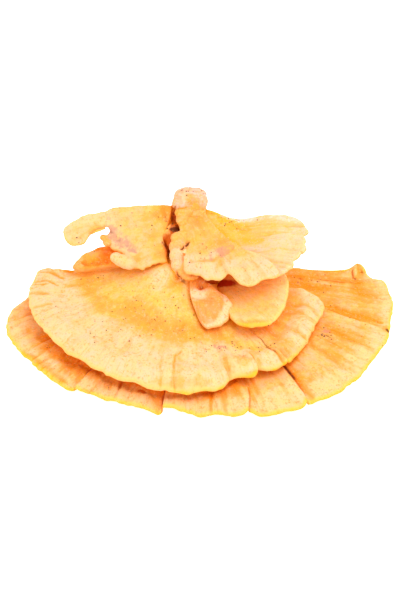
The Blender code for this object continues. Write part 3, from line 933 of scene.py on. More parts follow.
def flesh(name, **choices):
    """A material of this flesh; the choices are those of a palette."""
    palette = Palette(**choices)
    paint = Paint(name)
    rise, here = paint.rise, paint.place()
    threads = paint.noise(paint.fan(*THREADS), 1.0, 3.0)
    strands = paint.noise(paint.fan(*STRANDS), 1.0, 2.0)
    hairs = paint.noise(paint.fan(*HAIRS), 1.0, 2.0)
    mottle = paint.noise(here, 95.0, 4.0)
    tone = paint.noise(here, 150.0, 4.0)
    cloud = paint.noise(here, 260.0, 4.0)
    grain = paint.noise(here, 620.0, 3.0)
    powder = paint.noise(here, 1000.0, 2.0)
    names = ("warm", "pale", "fold", "valley", "crest", "stain", "hole", "rim", "under", "shelter")
    warm, pale, fold, valley, crest, stain, hole, rim, under, shelter = map(paint.mask, names)

    fresh = 1 - rise(rim, *FRESH_OVER)
    streak = ((threads - 0.5) * 1.7 + (strands - 0.5) * 3.2) * fresh * palette.streaks
    blotch = ((mottle - 0.5) * 1.6 + (cloud - 0.5) * 1.4) * palette.blotch
    cream = rise(pale + (mottle - 0.5) * 0.4, 0.2, 0.85)
    heat = warm + streak * (1 - cream * 0.35) + blotch * (1 - cream * 0.5)
    dapple = grain + (cloud - 0.5) * 0.6
    tint = paint.mix(SULPHUR_TINT, PEACH_TINT, rise(tone, 0.36, 0.64))
    margin = paint.mix(palette.rim, GOLD, rise(warm, 0.35, 1.0))
    edge = 1 - rise(rim + (strands - 0.5) * palette.rim_width, 0.0, palette.rim_width)
    spots = rise(stain + (cloud - 0.5) * 2.0 + (grain - 0.5) * 1.2, 0.2, 1.0)
    dirt_and_shade = rise(hole + (grain - 0.5) * 0.5 + (cloud - 0.5) * 0.4, 0.2, 1.15)
    dots = 1 - rise(paint.cells(here, 260.0), 0.07, 0.15)
    specks = dots * rise(mottle, 0.5, 0.58)
    strokes = 1 - rise(paint.cells(paint.fan(*DASHES), 1.0), 0.08, 0.20)
    dashes = strokes * rise(cloud, 0.48, 0.56)
    pores = paint.cells(paint.fan(*PORES), 1.0)
    pored = paint.mix(UNDERSIDE, PORE, rise(pores, 0.5, 0.15))

    base = palette.ground
    layers = [  # each lies over the ones before it: colour, share, and MULTIPLY for a tint
        (palette.pale, cream),
        (palette.amber, rise(heat, 0.0, 0.65) * 0.9),
        (palette.warm, rise(heat, 0.45, 1.3)),
        # Where warm falls below 0 the flesh turns paler; some of those places are painted light in
        # shade.
        (palette.pale, rise(heat * -1.0, 0.05, 0.7) * 0.5),
        (palette.amber, rise(dapple, 0.53, 0.72) * 0.7),
        (palette.pale, rise(dapple, 0.47, 0.28) * 0.4),
        (tint, 1 - cream * 0.45, "MULTIPLY"),
        (GRAIN_TINT, rise(powder, 0.54, 0.70) * 0.9, "MULTIPLY"),
        (HAIR_TINT, rise(hairs, 0.54, 0.70) * fresh * HAIR_SHARE, "MULTIPLY"),
        (margin, edge * 0.95),
        (LIP_TINT, 1 - rise(rim, -0.3, 1.0), "MULTIPLY"),
        # Painted shade in the wrinkle valleys and dimples, then a painted highlight on the crests,
        # then painted shade in the folds.
        (palette.amber, rise(valley + (grain - 0.5) * 0.6, 0.15, 1.0) * 0.8),
        (palette.pale, crest * 0.35),
        (palette.fold, rise(fold + (grain - 0.5) * 0.3, 0.15, 1.0)),
        (palette.stain, spots * 0.85),
        # Real dirt, and painted shade in the darkest cracks and folds.
        (DIRT_AND_SHADE, dirt_and_shade),
        (SPECK, specks * 0.75 * (1 - under)),
        (DASH, dashes * 0.5 * (1 - under)),
        (pored, rise(under, 0.2, 0.9)),
        (HOLLOW_TINT, rise(shelter, 0.16, 0.72), "MULTIPLY"),
    ]
    for layer in layers:
        base = paint.mix(base, *layer)
    relief = grain * 0.35 + (threads * 0.9 - hairs * 0.4) * fresh + mottle * 0.5
    relief = relief - specks * 0.4 - pores * under * 0.5
    return paint.finish({
        "Base Color": base,
        "Roughness": 0.52 + (grain - 0.5) * 0.3 + under * 0.12,
        "Normal": paint.bump(relief, 0.35, BUMP_HEIGHT),
        "Subsurface Weight": 0.22,
        "Subsurface Radius": (1.0, 0.42, 0.12),
        "Subsurface Scale": 0.004,
        "Specular IOR Level": 0.12,
    })


print("threads are", 1 / THREADS[0], "mm apart")

# %% [markdown]
# Each shelf that is finished stands for its plain solid, so it rides on the same body, and the
# solid is hidden. One function does that for every piece.

# %% Dress a solid
def dress(obj, node, slot, material):
    """Gives a mesh its material and its body, and hides the solid that it replaces."""
    obj.data.materials.clear()
    obj.data.materials.append(material)
    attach(obj, "root")
    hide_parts(node)
    print(node, "takes", slot)


# %% [markdown]
# The lowest shelf is the widest. Most of its middle is in the shade of the shelf above and shows
# only as a peach and orange border, with fine streaks, five laps in its margin and a bright yellow
# edge.

# %% The bottom shelf
BOTTOM = Sheet(
    name="bottom_shelf_flesh", seed=11, grain=1.1,
    root=[(-30, -8, 28), (-24, -28, 30), (-6, -40, 31), (14, -38, 31), (26, -20, 30), (22, 4, 29)],
    rim=[
        (-126, -16, 18), (-136, -21, 16), (-145, -27, 14), (-150, -34, 13), (-153, -45, 12),
        (-152, -57, 11), (-148, -68, 10), (-138, -83, 9), (-126, -101, 8), (-112, -115, 7),
        (-99, -126, 6.5), (-91, -130, 6), (-75, -136, 6), (-62, -142, 6), (-50, -147, 6),
        (-38, -151, 6), (-24, -156, 6), (-16, -153, 6.5), (-4, -156, 6.5), (8, -160, 6), (20, -158, 6),
        (33, -160, 6), (44, -160, 6), (49, -157, 6.5), (57, -159, 6), (71, -156, 6), (87, -152, 6),
        (93, -147, 7), (103, -141, 7), (119, -133, 8), (134, -118, 9), (146, -99, 10), (155, -83, 11),
        (162, -70, 12), (167, -49, 14), (171, -30, 16), (170, -15, 17), (166, -2, 19), (157, 0, 20),
        (151, 5, 23), (148, 12, 27), (143, 15, 27),
    ],
    swell=[(0, 0), (0.3, -2), (0.6, 0), (0.85, 1.5), (1, 0)],
    thickness=[(0, 24), (0.3, 14), (0.6, 10), (0.85, 7), (1, 3.4)],
    band=[(0, 6), (0.2, 12), (0.4, 9), (0.62, 22), (0.8, 14), (1, 4)],
    # The blush is partly the flesh's own orange towards the root and partly painted shade from the
    # shelf above.
    blush=[(0, 0.8), (0.2, 1.2), (0.35, 1.1), (0.5, 0.8), (0.6, 0.3), (0.85, 0.4), (1, 0.8)],
    wrinkle=[(0, 1.3), (0.3, 1.4), (0.45, 0.7), (0.8, 0.6), (1, 0.8)],
    blush_reach=20.0, wrinkle_gap=6.5, wrinkle_reach=55.0, waves=0.6, lift=1.0, bow=(0.0, 9.3),
    bow_place=4.0,
    folds=[
        ((-91, -129), -1.6, 0.3, 1.5, 0.7), ((-21, -155), -2.2, 0.3, 2.0),
        ((46, -158), 1.4, 0.3, 2.0, 0.8, 0.3), ((93, -147), 2.0, 0.45, 0.8, 0.8, 0.1),
        ((163, -61), 2.0, 0.5, 1.5, 0.9, 0.08),
    ],
    grooves=[((-60, -143), 0.6, 0.2)],
    mounds=[((142, 8), (4.5, 4.5), 4.0, 20), ((118, 6), (22, 9), -2.4), ((133, 0), (4, 6), -1.2)],
    patches=dict(
        stain=[((110, -69), (7, 4), 0.9, 60)],
        warm=[
            ((93, -14), (14, 10), 0.2), ((97, -123), (3, 3), 0.7), ((144, 6), (5, 5.5), 1.5),
            ((101, -102), (16, 12), -0.5), ((99, -131), (10, 8), -0.35), ((64, -145), (10, 8), -0.3),
            ((125, -22), (28, 14), -0.15), ((141, -6), (6, 6), 0.7), ((150, -12), (12, 10), 0.3),
            # (-128, -60) on this line and (63, -128) on the next are painted light: paler flesh in the
            # shade of the shelf above.
            ((152, -27), (8, 14), 0.3), ((162, -61), (4, 4), 0.9), ((-128, -60), (9, 8), -1.6),
            ((92, 4), (10, 5), -0.5), ((63, -128), (12, 8), -0.6), ((93, -112), (8, 8), -0.5),
            ((127, -55), (9, 8), -0.35), ((-102, -108), (6, 5), 0.6),
        ],
        hole=[
            ((93.5, -3.5), (3, 1.4), 0.7), ((94, -14), (8, 3.5), 0.4, 0, 1.0),
            ((111, -74), (4.5, 3), 0.6, 0, 1.0), ((146, 4.5), (1.8, 1.5), 0.9),
            ((162.5, -60.5), (2.2, 2.6), 0.9), ((139.8, -3.8), (1.8, 1.5), 0.9),
            ((163.5, -62), (1.8, 3.2), 1.0),
        ],
    ),
    trails=dict(
        fold=[
            # These two fold trails are painted shadow on this shelf, along the rim of the shelf above.
            (((-90, -103), (-79, -114), (-63, -125), (-47, -134), (-35, -140)), 4.0, 0.0, 0.6),
            (((-40, -138), (-18, -144), (0, -145), (14, -142), (26, -136), (38, -129)), 4.0, 0.0, 0.6),
            # Painted shade in the crease of the curled lump.
            (((138, 5), (137.8, 1), (138.8, -3)), 1.2, -1.6, 0.9),
            # Painted shade in the lap at the right front.
            (((74, -106), (80, -115), (86, -127), (91, -139)), 2.6, -0.8, 0.7),
        ],
        warm=[
            (((17, -132), (17, -150), (17, -162)), 1.1, -0.9, 0.7),
            (((26, -130), (27, -146), (28, -162)), 2.4, -0.8, 0.5),
            (((96, -80), (109, -97), (118, -105), (132, -112)), 6.0, -1.1, 0.4),
            (((110, -60), (126, -76), (138, -79), (153, -92)), 5.0, -1.0, 0.35),
            (((94, -4), (110, -26), (121, -37)), 7.0, -1.1, 0.5),
            (((121, -37), (132, -44), (143, -47), (160, -46)), 4.5, -1.1, 0.5),
            (((76, 2), (90, 0), (98, -4)), 6.0, 0.0, 0.5),
            (((80, -11), (98, -13), (111, -13), (130, -8)), 6.5, -0.7, 0.4),
            (((138, -2), (141, -11), (143, -19), (158, -24)), 6.0, -0.8, 0.4),
            # Orange painted shade beside the lap at the right front.
            (((74, -98), (81, -111), (87, -121), (91, -130), (98, -145)), 4.5, -0.7, 0.6),
            # These three deep orange streaks lie in the shade of the shelf above; they are partly the
            # flesh's own streaks and partly painted shade.
            (((-134, -62), (-120, -72), (-104, -82)), 6.0, -0.9, 0.6),
            (((-114, -88), (-100, -94), (-84, -102)), 6.0, -0.9, 0.6),
            (((-104, -98), (-92, -103), (-76, -112)), 4.5, -0.9, 0.5),
            # A painted highlight: the pale stripe on the curled lump, where warm is below 0.
            (((139.8, 8), (140.2, 4.5), (139.8, 0)), 1.2, 0.9, -3.2),
            # The pale crest of the lap on the right is a painted highlight, and the orange band behind
            # it is painted shade.
            (((112, -46), (133, -55), (147, -58), (158, -63)), 2.2, 0.6, -0.9),
            (((112, -37), (133, -47), (146, -49), (160, -53)), 3.2, -0.6, 0.8),
            (((86, 5), (104, 3), (122, 1), (132, 3)), 3.4, 0.0, 0.5),
            (((-138, -83), (-126, -99), (-112, -112), (-98, -123)), 4.0, 0.0, 1.1),
        ],
        hole=[
            (((86, 7), (104, 5), (122, 3), (132, 5)), 1.4, 0.0, 0.3),
            (((131, 5), (135, 8), (138, 10)), 1.2, 0.0, 0.5),
            # Painted shadow: the dark core of the lap at the right front.
            (((74, -106), (79, -114.5), (84, -123)), 1.6, -0.8, 1.1),
        ],
    ),
)
bottom_shelf = grow(BOTTOM)
peach_flesh = flesh(
    "peach_flesh",
    ground=(249, 178, 108), amber=(247, 154, 58), warm=(246, 136, 10), pale=(250, 191, 132),
    rim=(250, 185, 54), streaks=0.8, blotch=0.6, rim_width=3.8,
)
dress(bottom_shelf, "bottom_shelf", "bottom_flesh", peach_flesh)

# %% [markdown]
# The middle shelf is the face of the cluster. Its centre is golden and almost smooth, and round it
# runs a broad cream margin that is still growing, wrinkled from the edge inwards. On the right the
# margin breaks into three lobes that lap over each other.

# %% The middle shelf
MIDDLE = Sheet(
    name="middle_shelf_flesh", seed=23, grain=1.0,
    root=[(-22, -22, 61), (-20, -36, 66), (-8, -48, 63), (8, -50, 57), (20, -38, 53)],
    rim=[
        (-117, -10, 41), (-124, -10, 40), (-128, -13, 39), (-131, -22, 38), (-133, -33, 36),
        (-132, -48, 34), (-129, -61, 32), (-123, -73, 30), (-112, -90, 28), (-100, -103, 26),
        (-88, -115, 25), (-74, -125, 24), (-58, -135, 23), (-46, -141, 22), (-31, -146, 21),
        (-19, -149, 21), (-7, -151, 20), (4, -151, 20), (14, -149, 20), (22, -146, 20), (30, -141, 20),
        (34, -135, 22), (44, -134, 22), (52, -133, 22), (56, -127, 24), (62, -127, 24), (69, -124, 24),
        (76, -121, 24), (80, -117, 23), (86, -106, 22), (92, -95, 23), (97, -84, 24), (102, -74, 25),
        (107, -62, 26), (111, -47, 29), (108, -41, 30), (100, -36, 32),
    ],
    swell=[(0, 0), (0.25, -5), (0.5, -5), (0.72, -2.5), (0.88, 2.5), (1, 0)],
    thickness=[(0, 20), (0.5, 12), (0.85, 9), (1, 3.4)],
    band=[(0, 30), (0.1, 42), (0.3, 46), (0.6, 46), (0.66, 38), (0.72, 18), (0.85, 18), (1, 24)],
    blush=[(0, 0.1), (0.5, 0.15), (0.7, 0.1), (0.8, 0.35), (1, 0.3)],
    wrinkle=[(0, 1.9), (0.16, 1.7), (0.3, 0.6), (0.5, 0.6), (0.7, 0.8), (0.9, 1.3), (1, 0.8)],
    wrinkle_gap=8.0, wrinkle_reach=30.0, ring=0.7, waves=0.7, phase=2.0, bow=(9.0, 0.0), bow_place=4.0,
    bow_share=0.2,
    folds=[
        ((32, -139), 1.6, 0.16, 2.0, 0.4), ((56, -129), 1.5, 0.2, 1.5, 0.6),
        ((80, -119), 1.3, 0.25, 2.0, 0.5, -0.1),
    ],
    mounds=[
        ((-22, -47), (11, 6), 3.0, 10), ((0, -134), (9, 9), 1.6), ((-17, -134), (4, 10), 0.8),
        ((44, -124), (8, 6), 1.6), ((50, -127), (5, 4), 1.2), ((68, -116), (7, 5), 1.0, -40),
        ((-50, -120), (8, 6), 1.0, 20),
    ],
    patches=dict(
        stain=[((24, -108), (6, 3), 1.0)],
        pale=[((-24, -50), (13, 10), 0.9), ((-70, -69), (12, 9), -0.6), ((68, -70), (16, 10), 0.3)],
        warm=[
            ((28, -128), (9, 11), 0.35), ((77, -111), (5, 6), 1.6), ((78, -99), (8, 5), 0.5),
            # (52, -98) on this line and (-66, -26) and (-35, -40) on the next are painted light: paler
            # flesh where shade falls.
            ((46, -122), (8, 6), 0.5), ((52, -98), (14, 9), -1.5), ((79, -77), (8, 7), -0.8),
            ((-66, -26), (16, 5), -1.0), ((-35, -40), (9, 4), -0.8), ((-10, -56), (6, 5), 1.0),
            ((-58, -52), (24, 15), -0.5),
        ],
    ),
    trails=dict(
        warm=[
            (((-6, -114), (-11, -119), (-13, -128), (-12, -138), (-11, -154)), 1.0, -1.3, 0.5),
            (((-22, -119), (-23, -130), (-22, -154)), 1.0, -0.6, 0.3),
            (((-2, -120), (-1, -134), (-2, -152)), 1.5, -0.4),
            (((27, -118), (28, -125), (31, -131)), 2.0, -1.4, 0.15),
            (((-24, -150), (0, -153), (20, -149), (31, -141)), 2.0, 0.0, 0.9),
            (((-30, -143), (-5, -147), (18, -143)), 5.0, 0.0, 0.4),
            (((31, -141), (37, -136), (46, -135), (56, -129)), 2.0, 0.0, 1.0),
            (((56, -129), (64, -127.5), (72, -124.5), (80, -118)), 2.2, 0.0, 1.2),
            (((80, -118), (86, -107), (92, -96)), 1.8, 0.0, 1.0),
            (((-46, -100), (-50, -110), (-56, -116), (-68, -118)), 2.6, -0.9, 0.2),
            # These two are painted shade along the lap where one lobe lies over the next.
            (((82, -125), (74, -119), (67, -111), (61, -103)), 0.9, -1.2, 0.8),
            (((78, -114), (67, -106), (57, -93)), 3.0, -0.5, 0.2),
            # Five short creases at the left rim, with painted shade in them.
            (((-126, -15), (-115, -21), (-104, -28)), 1.4, -1.6, 0.9),
            (((-131, -26), (-119, -30), (-108, -38)), 1.3, -1.6, 0.9),
            (((-135, -31), (-126, -33), (-117, -37)), 1.3, -1.6, 1.0),
            (((-136, -42), (-126, -45), (-114, -49)), 1.3, -1.5, 0.9),
            (((-134, -57), (-124, -59), (-112, -60)), 1.4, -1.3, 0.8),
            (((-102, -38), (-88, -38)), 3.0, -0.5, 0.4),
            (((70, -53), (86, -52), (95, -52), (106, -62)), 3.0, -1.0, 0.5),
            (((72, -63), (84, -62), (94, -64)), 3.4, -0.6, 0.5),
            (((62, -72), (75, -77), (82, -80), (95, -89)), 3.2, -1.0, 0.6),
        ],
        # Along the same lap: the fold and hole trails are painted shade, and the pale trail a painted
        # highlight on the upper lip.
        fold=[
            (((82, -125), (74, -119), (67, -111), (61, -103), (54, -93), (48, -86)), 1.2, -0.6, 0.35),
        ],
        hole=[(((70, -114), (65, -108.5), (59, -99), (55, -94)), 0.9, -0.6, 0.8)],
        pale=[(((72, -122), (62, -112), (54, -100)), 1.6, 0.7, 0.6)],
    ),
)
middle_shelf = grow(MIDDLE)
golden_flesh = flesh(
    "golden_flesh",
    ground=(249, 183, 95), amber=(247, 160, 64), warm=(243, 138, 42), pale=(250, 191, 140),
    rim=(250, 188, 102), streaks=0.4, blotch=0.6, rim_width=3.6,
)
dress(middle_shelf, "middle_shelf", "golden_flesh", golden_flesh)

# %% [markdown]
# A round shelf and a narrow tongue grow between the middle shelf and the crown, and a small lobe
# hides on the left. They sit in the shade, and their deep colours are partly painted shade.

# %% The round shelf, the tongue and the left lobe
ROUND = Sheet(
    name="round_shelf_flesh", seed=31, grain=0.8,
    root=[(22, -50, 50), (27, -40, 54), (32, -28, 57)],
    rim=[
        (31, -82, 45), (33, -88, 45), (38, -96, 45.5), (49, -100, 46), (58, -99, 46), (67, -93, 47),
        (76, -80, 49), (79, -66, 52), (81, -54, 55), (78, -42, 57),
    ],
    swell=[(0, 0), (0.5, 1), (0.85, 1.5), (1, 0)],
    thickness=[(0, 12), (0.5, 8), (0.85, 5.5), (1, 3.4)],
    band=[(0, 4), (0.5, 7), (1, 14)],
    blush=[(0, 0.65), (0.4, 0.4), (1, 0.1)],
    wrinkle=[(0, 0.4), (1, 0.5)],
    wrinkle_reach=40.0, zone=16.0,
    patches=dict(
        # Painted shadow of the flap's lip on the root of this shelf.
        fold=[((28, -49), (11, 4), 1.5, -15)],
        warm=[((50, -98), (24, 4), 1.0), ((66, -84), (9, 7), 0.4)],
    ),
)
TONGUE = Sheet(
    name="tongue_flesh", seed=37, grain=0.7,
    root=[(0, -54, 63), (5, -52, 64), (9, -52, 63)],
    rim=[
        (0, -68, 56), (3, -76, 50), (6, -84, 46), (9, -90, 44), (12, -95, 42.5), (16, -96, 42),
        (24, -93, 43), (31, -88, 45), (35, -79, 49), (33, -73, 51), (30, -68, 54),
    ],
    swell=[(0, 0), (0.5, 1.5), (1, 0)],
    thickness=[(0, 10), (0.5, 6), (1, 3.4)],
    band=[(0, 0), (0.45, 2), (0.7, 9), (1, 5)],
    blush=[(0, 0.1), (1, 0.4)],
    wrinkle=[(0, 0.3), (1, 0.3)],
    bow=(0.0, 3.0), lift=1.5,
    mounds=[
        ((9, -63), (3.2, 2.6), -2.4), ((4, -66), (3, 3), 1.2), ((15, -66), (3.5, 3), 1.0),
        ((20, -78), (8, 5), 0.8),
    ],
    patches=dict(
        warm=[((9, -63), (3.4, 2.6), 0.95), ((14, -76), (8, 3), 0.4), ((9, -71), (8, 4), -0.6)],
        pale=[((8, -68), (10, 7), 0.9)],
        # Painted shadow of the flap's lip.
        fold=[((14.5, -58.5), (3, 1.8), 0.9)],
    ),
    trails=dict(
        warm=[(((3, -72), (10, -74), (18, -72)), 1.2, -0.8, 0.4)],
    ),
)
LEFT_LOBE = Sheet(
    name="left_lobe_flesh", seed=41, grain=0.7,
    root=[(-22, -13, 64.5), (-22, -20, 60), (-22, -27, 54)],
    rim=[
        (-76, -15, 64), (-83, -17, 61), (-89, -20, 59), (-94, -23, 57), (-97, -26, 54.5),
        (-95, -28, 53), (-92, -29.5, 52), (-88, -30, 52),
    ],
    swell=[(0, 0), (0.45, 3), (0.7, 2), (1, 0)],
    thickness=[(0, 14), (0.5, 12), (0.8, 8), (1, 3.4)],
    band=[(0, 2), (1, 2)],
    blush=[(0, 0.4), (1, 0.4)],
    wrinkle=[(0, 0.8), (1, 0.8)],
    lumpy=2.6,
    mounds=[
        ((-88, -21), (3.5, 2.5), 1.4), ((-80, -19), (3, 2.5), 1.4), ((-73, -23), (4, 2.2), 1.2),
        ((-84, -26), (4, 1.8), -1.4), ((-64, -18), (5, 3), 1.0),
    ],
    patches=dict(
        pale=[((-92, -25), (7, 4), 1.2)],
        stain=[((-82, -20), (5, 3), 0.7, -20)],
        warm=[((-62, -22), (10, 6), 0.9), ((-84, -27), (8, 3), 0.6)],
        hole=[((-88, -27), (4, 2.5), 0.45)],
    ),
    trails=dict(
        stain=[(((-86, -20), (-76, -22), (-66, -20)), 1.6, 1.0, 0.5)],
        warm=[(((-90, -25), (-78, -27), (-66, -26)), 2.0, -1.4, 0.7)],
    ),
)
round_shelf, tongue, left_lobe = grow(ROUND), grow(TONGUE), grow(LEFT_LOBE)
orange_flesh = flesh(
    "orange_flesh",
    ground=(250, 183, 108), amber=(249, 168, 78), warm=(243, 132, 8), pale=(250, 192, 130),
    rim=(250, 190, 102), fold=(170, 42, 2), streaks=0.35, rim_width=3.4,
)
dress(round_shelf, "round_shelf", "orange_flesh", orange_flesh)
pink_flesh = flesh(
    "pink_flesh",
    ground=(247, 151, 74), amber=(245, 138, 54), warm=(206, 92, 36), pale=(250, 192, 146),
    rim=(249, 172, 96), streaks=0.3, rim_width=1.2,
)
dress(tongue, "tongue", "orange_flesh", pink_flesh)
deep_orange_flesh = flesh(
    "deep_orange_flesh",
    ground=(247, 154, 54), amber=(244, 134, 30), warm=(234, 112, 14), pale=(247, 174, 104),
    rim=(245, 160, 84), stain=(232, 156, 100), streaks=0.4, blotch=1.6,
)
dress(left_lobe, "left_lobe", "orange_flesh", deep_orange_flesh)

# %% [markdown]
# The centre flap, the left fan and the neck are lumpy, and their parts run into each other without
# a seam. A voxel remesh fuses overlapping forms into one skin, but it forgets the masks. So in the
# flap and the fan each point of the new skin takes its masks from the nearest point of the forms that
# it was made from, and they are then blurred a little along the skin, so that no form shows.

# %% Fuse overlapping forms into one skin
INLAND = 30.0  # the distance from a margin that counts as far
MASK_BLUR = 6
KEPT_SHARP = ("fan", "rim", "under")  # masks that aren't blurred
MOST_DUST_AND_SHADE = 1.2
LUMP_DETAIL = 4


def form_of_lump(at, radii, warm=0.0, pale=0.0):
    """The points, faces and masks of an egg-shaped lump."""
    mesh = bmesh.new()
    bmesh.ops.create_icosphere(mesh, subdivisions=LUMP_DETAIL, radius=1.0)
    points = np.array([v.co for v in mesh.verts]) * radii + at
    faces = [[v.index for v in f.verts] for f in mesh.faces]
    mesh.free()
    levels = dict.fromkeys(("stain", "hole", "fold", "valley", "crest", "under"), 0.0)
    levels.update(warm=warm, pale=pale, rim=INLAND)
    values = {name: np.full(len(points), level) for name, level in levels.items()}
    values["fan"] = points[:, [0, 2, 1]]
    return points, faces, values


def fuse(name, forms, voxel, soften):
    """One skin round several closed forms, each with points, faces and masks, in millimetres."""
    points, faces, start = [], [], 0
    for form_points, form_faces, _ in forms:
        points.append(form_points)
        faces += [[i + start for i in face] for face in form_faces]
        start += len(form_points)
    obj = object_of(name, np.vstack(points), faces, {})
    remesh = obj.modifiers.new("fuse", "REMESH")
    remesh.mode = "VOXEL"
    remesh.voxel_size = voxel * MM
    smoothing = obj.modifiers.new("soften", "SMOOTH")
    smoothing.iterations = soften
    graph = bpy.context.evaluated_depsgraph_get()
    skin = bpy.data.meshes.new_from_object(obj.evaluated_get(graph))
    obj.modifiers.clear()
    obj.data = skin
    skin.shade_smooth()
    return obj


def points_of(obj):
    """The points of an object in millimetres."""
    flat = np.empty(len(obj.data.vertices) * 3, np.float32)
    obj.data.vertices.foreach_get("co", flat)
    return flat.reshape(-1, 3).astype(float) / MM


def move_points(obj, points):
    """Moves the points of an object to new places in millimetres."""
    obj.data.vertices.foreach_set("co", (points * MM).astype(np.float32).ravel())
    obj.data.update()


def blurred(mesh, value, rounds=MASK_BLUR):
    """A mask in which each point has come closer to its neighbours."""
    ends = np.empty(len(mesh.edges) * 2, np.int32)
    mesh.edges.foreach_get("vertices", ends)
    a, b = ends[::2], ends[1::2]
    count = np.bincount(ends, minlength=len(value))
    for _ in range(rounds):
        total = np.bincount(a, value[b], len(value)) + np.bincount(b, value[a], len(value))
        value = (value + total / np.maximum(count, 1)) / 2
    return value


def sink(obj):
    """Sinks the flesh along the dark cracks."""
    skin = points_of(obj)
    outward = np.array([v.normal for v in obj.data.vertices])
    move_points(obj, skin - SUNK * np.clip(dust_and_shade(skin), 0, MOST_DUST_AND_SHADE)[:, None] * outward)


def take_masks(obj, forms):
    """Sinks a skin along the dark cracks, and copies the masks from the nearest form points."""
    sink(obj)
    points = np.vstack([form[0] for form in forms])
    tree = KDTree(len(points))
    for i, point in enumerate(points):
        tree.insert(point, i)
    tree.balance()
    skin = points_of(obj)
    nearest = [tree.find(point)[1] for point in skin]
    values = {}
    for name in forms[0][2]:
        value = np.concatenate([form[2][name] for form in forms])[nearest]
        values[name] = value if name in KEPT_SHARP else blurred(obj.data, value)
    add_crack_dust_and_shade(values, skin)
    store(obj.data, values)


print("points in a lump:", len(form_of_lump((0, 0, 0), (1, 1, 1))[0]))


# %% [markdown]
# The crown is three shelves. Two of them come here: a flap to the front with a swollen cream lip,
# and a fan to the right that is grooved like a shell. Lumps join the flap to the knob above it and
# hang below its left side, so the flap is fused. The fan is a plain shelf.

# %% The centre flap and the right fan
CROWN_VOXEL = 0.75
CROWN_SOFTENING = 6
FLAP = Sheet(
    name="centre_flap_flesh", seed=53, grain=0.75,
    root=[(-11, -14, 95), (-4, -11, 97), (4, -9, 98), (13, -11, 97)],
    rim=[
        (-5, -38, 82), (-3, -45, 78), (-3, -49, 75), (-5, -55, 71.5), (-3, -60, 69.8), (2, -63, 69.8),
        (8, -66, 70), (13, -70, 69), (19, -70, 70), (26, -70, 71), (32, -69, 74), (37, -75, 73),
        (41, -79, 72), (46, -80, 72), (53, -78, 72), (60, -75, 74), (68, -74, 75), (72, -71, 77),
        (69, -64, 79),
    ],
    swell=[(0, 0), (0.4, 1), (0.6, 0.6), (0.82, 2.6), (1, 0)],
    thickness=[(0, 14), (0.5, 9), (0.85, 5.5), (1, 3.4)],
    band=[(0, 2), (0.2, 10), (0.4, 18), (0.55, 26), (1, 22)],
    blush=[(0, 0.3), (1, 0.2)],
    wrinkle=[(0, 0.2), (0.4, 0.25), (0.6, 0.6), (1, 0.6)],
    wrinkle_gap=10.0, wrinkle_reach=22.0, zone=15.0, phase=1.0, bow=(0.0, 8.0), bow_place=0.75,
    bow_share=0.4,
    folds=[((31, -69), -1.3, 0.3, 1.0, 0.5)],
    mounds=[
        ((10, -62), (11, 5), 1.4, -10), ((46, -68), (10, 7), 1.6, 10), ((62, -66), (6, 6), 1.2),
        ((8, -20), (3.5, 3), 0.9), ((2, -30), (7, 8), 0.9, 30), ((22, -36), (7, 9), -1.0, 40),
    ],
    patches=dict(
        stain=[((25, -51), (9, 5), 1.15, 20, 0.8)],
        hole=[((23, -52), (4, 2), 0.35, 20, 1.0)],
        warm=[
            ((8, -21), (5, 4), 0.8), ((24, -40), (6, 5), 0.5), ((58, -60), (9, 5), -0.45, -30),
            ((45, -54), (9, 6), -0.6),
        ],
        pale=[((46, -48), (16, 4), 0.5, -42)],
    ),
    trails=dict(
        pale=[
            (((16, -16), (33, -34), (48, -50), (66, -66)), 2.6, 1.2, 0.2),
            (((0, -57), (8, -60.5), (14, -61.5), (20, -60), (27, -57), (33, -53)), 2.0, 0.8, 0.5),
        ],
        warm=[
            (((-1, -53), (5, -56), (12, -57.5), (19, -56.5), (28, -52), (37, -46)), 1.3, -1.2, 0.6),
            (((20, -64), (26, -58), (34, -55)), 2.4, -0.9, 0.35),
            (((48, -82), (45, -70), (40, -60)), 2.6, -0.9, 0.25),
            (((61, -78), (54, -66), (48, -56)), 2.6, -0.8, 0.25),
        ],
        hole=[(((9, -57), (14, -57.6), (19, -56.4)), 0.7, 0.0, 0.4)],
    ),
)
FLAP_LUMPS = [  # (middle, radii, how warm, how pale)
    ((-5, -11, 97), (8, 7, 6), 0.3), ((2, -8.6, 101), (9, 5.2, 7.5), 0.5),
    ((-6, -17, 93), (5.5, 7, 5), 0.3), ((-7.8, -30.5, 84), (8, 5.5, 5.5), 0.2),
    ((-3.5, -27, 86), (4.5, 4.5, 4), 0.3), ((-10.5, -36, 79), (6.5, 5, 7), 0.1, 0.3),
    ((-9.5, -42, 74.5), (7.2, 5.5, 7.5), 0.0, 0.8), ((-8.5, -47, 69), (7, 5.5, 7), 0.0, 0.8),
    ((-5.5, -51, 65), (6.4, 5, 6), 0.3, 0.4), ((0.5, -54, 62.8), (7.5, 4.5, 3.6), 0.0, 0.3),
    ((-3, -41, 75), (6, 5, 8), 0.4), ((-1, -50, 69), (6, 6, 7), 0.4),
]
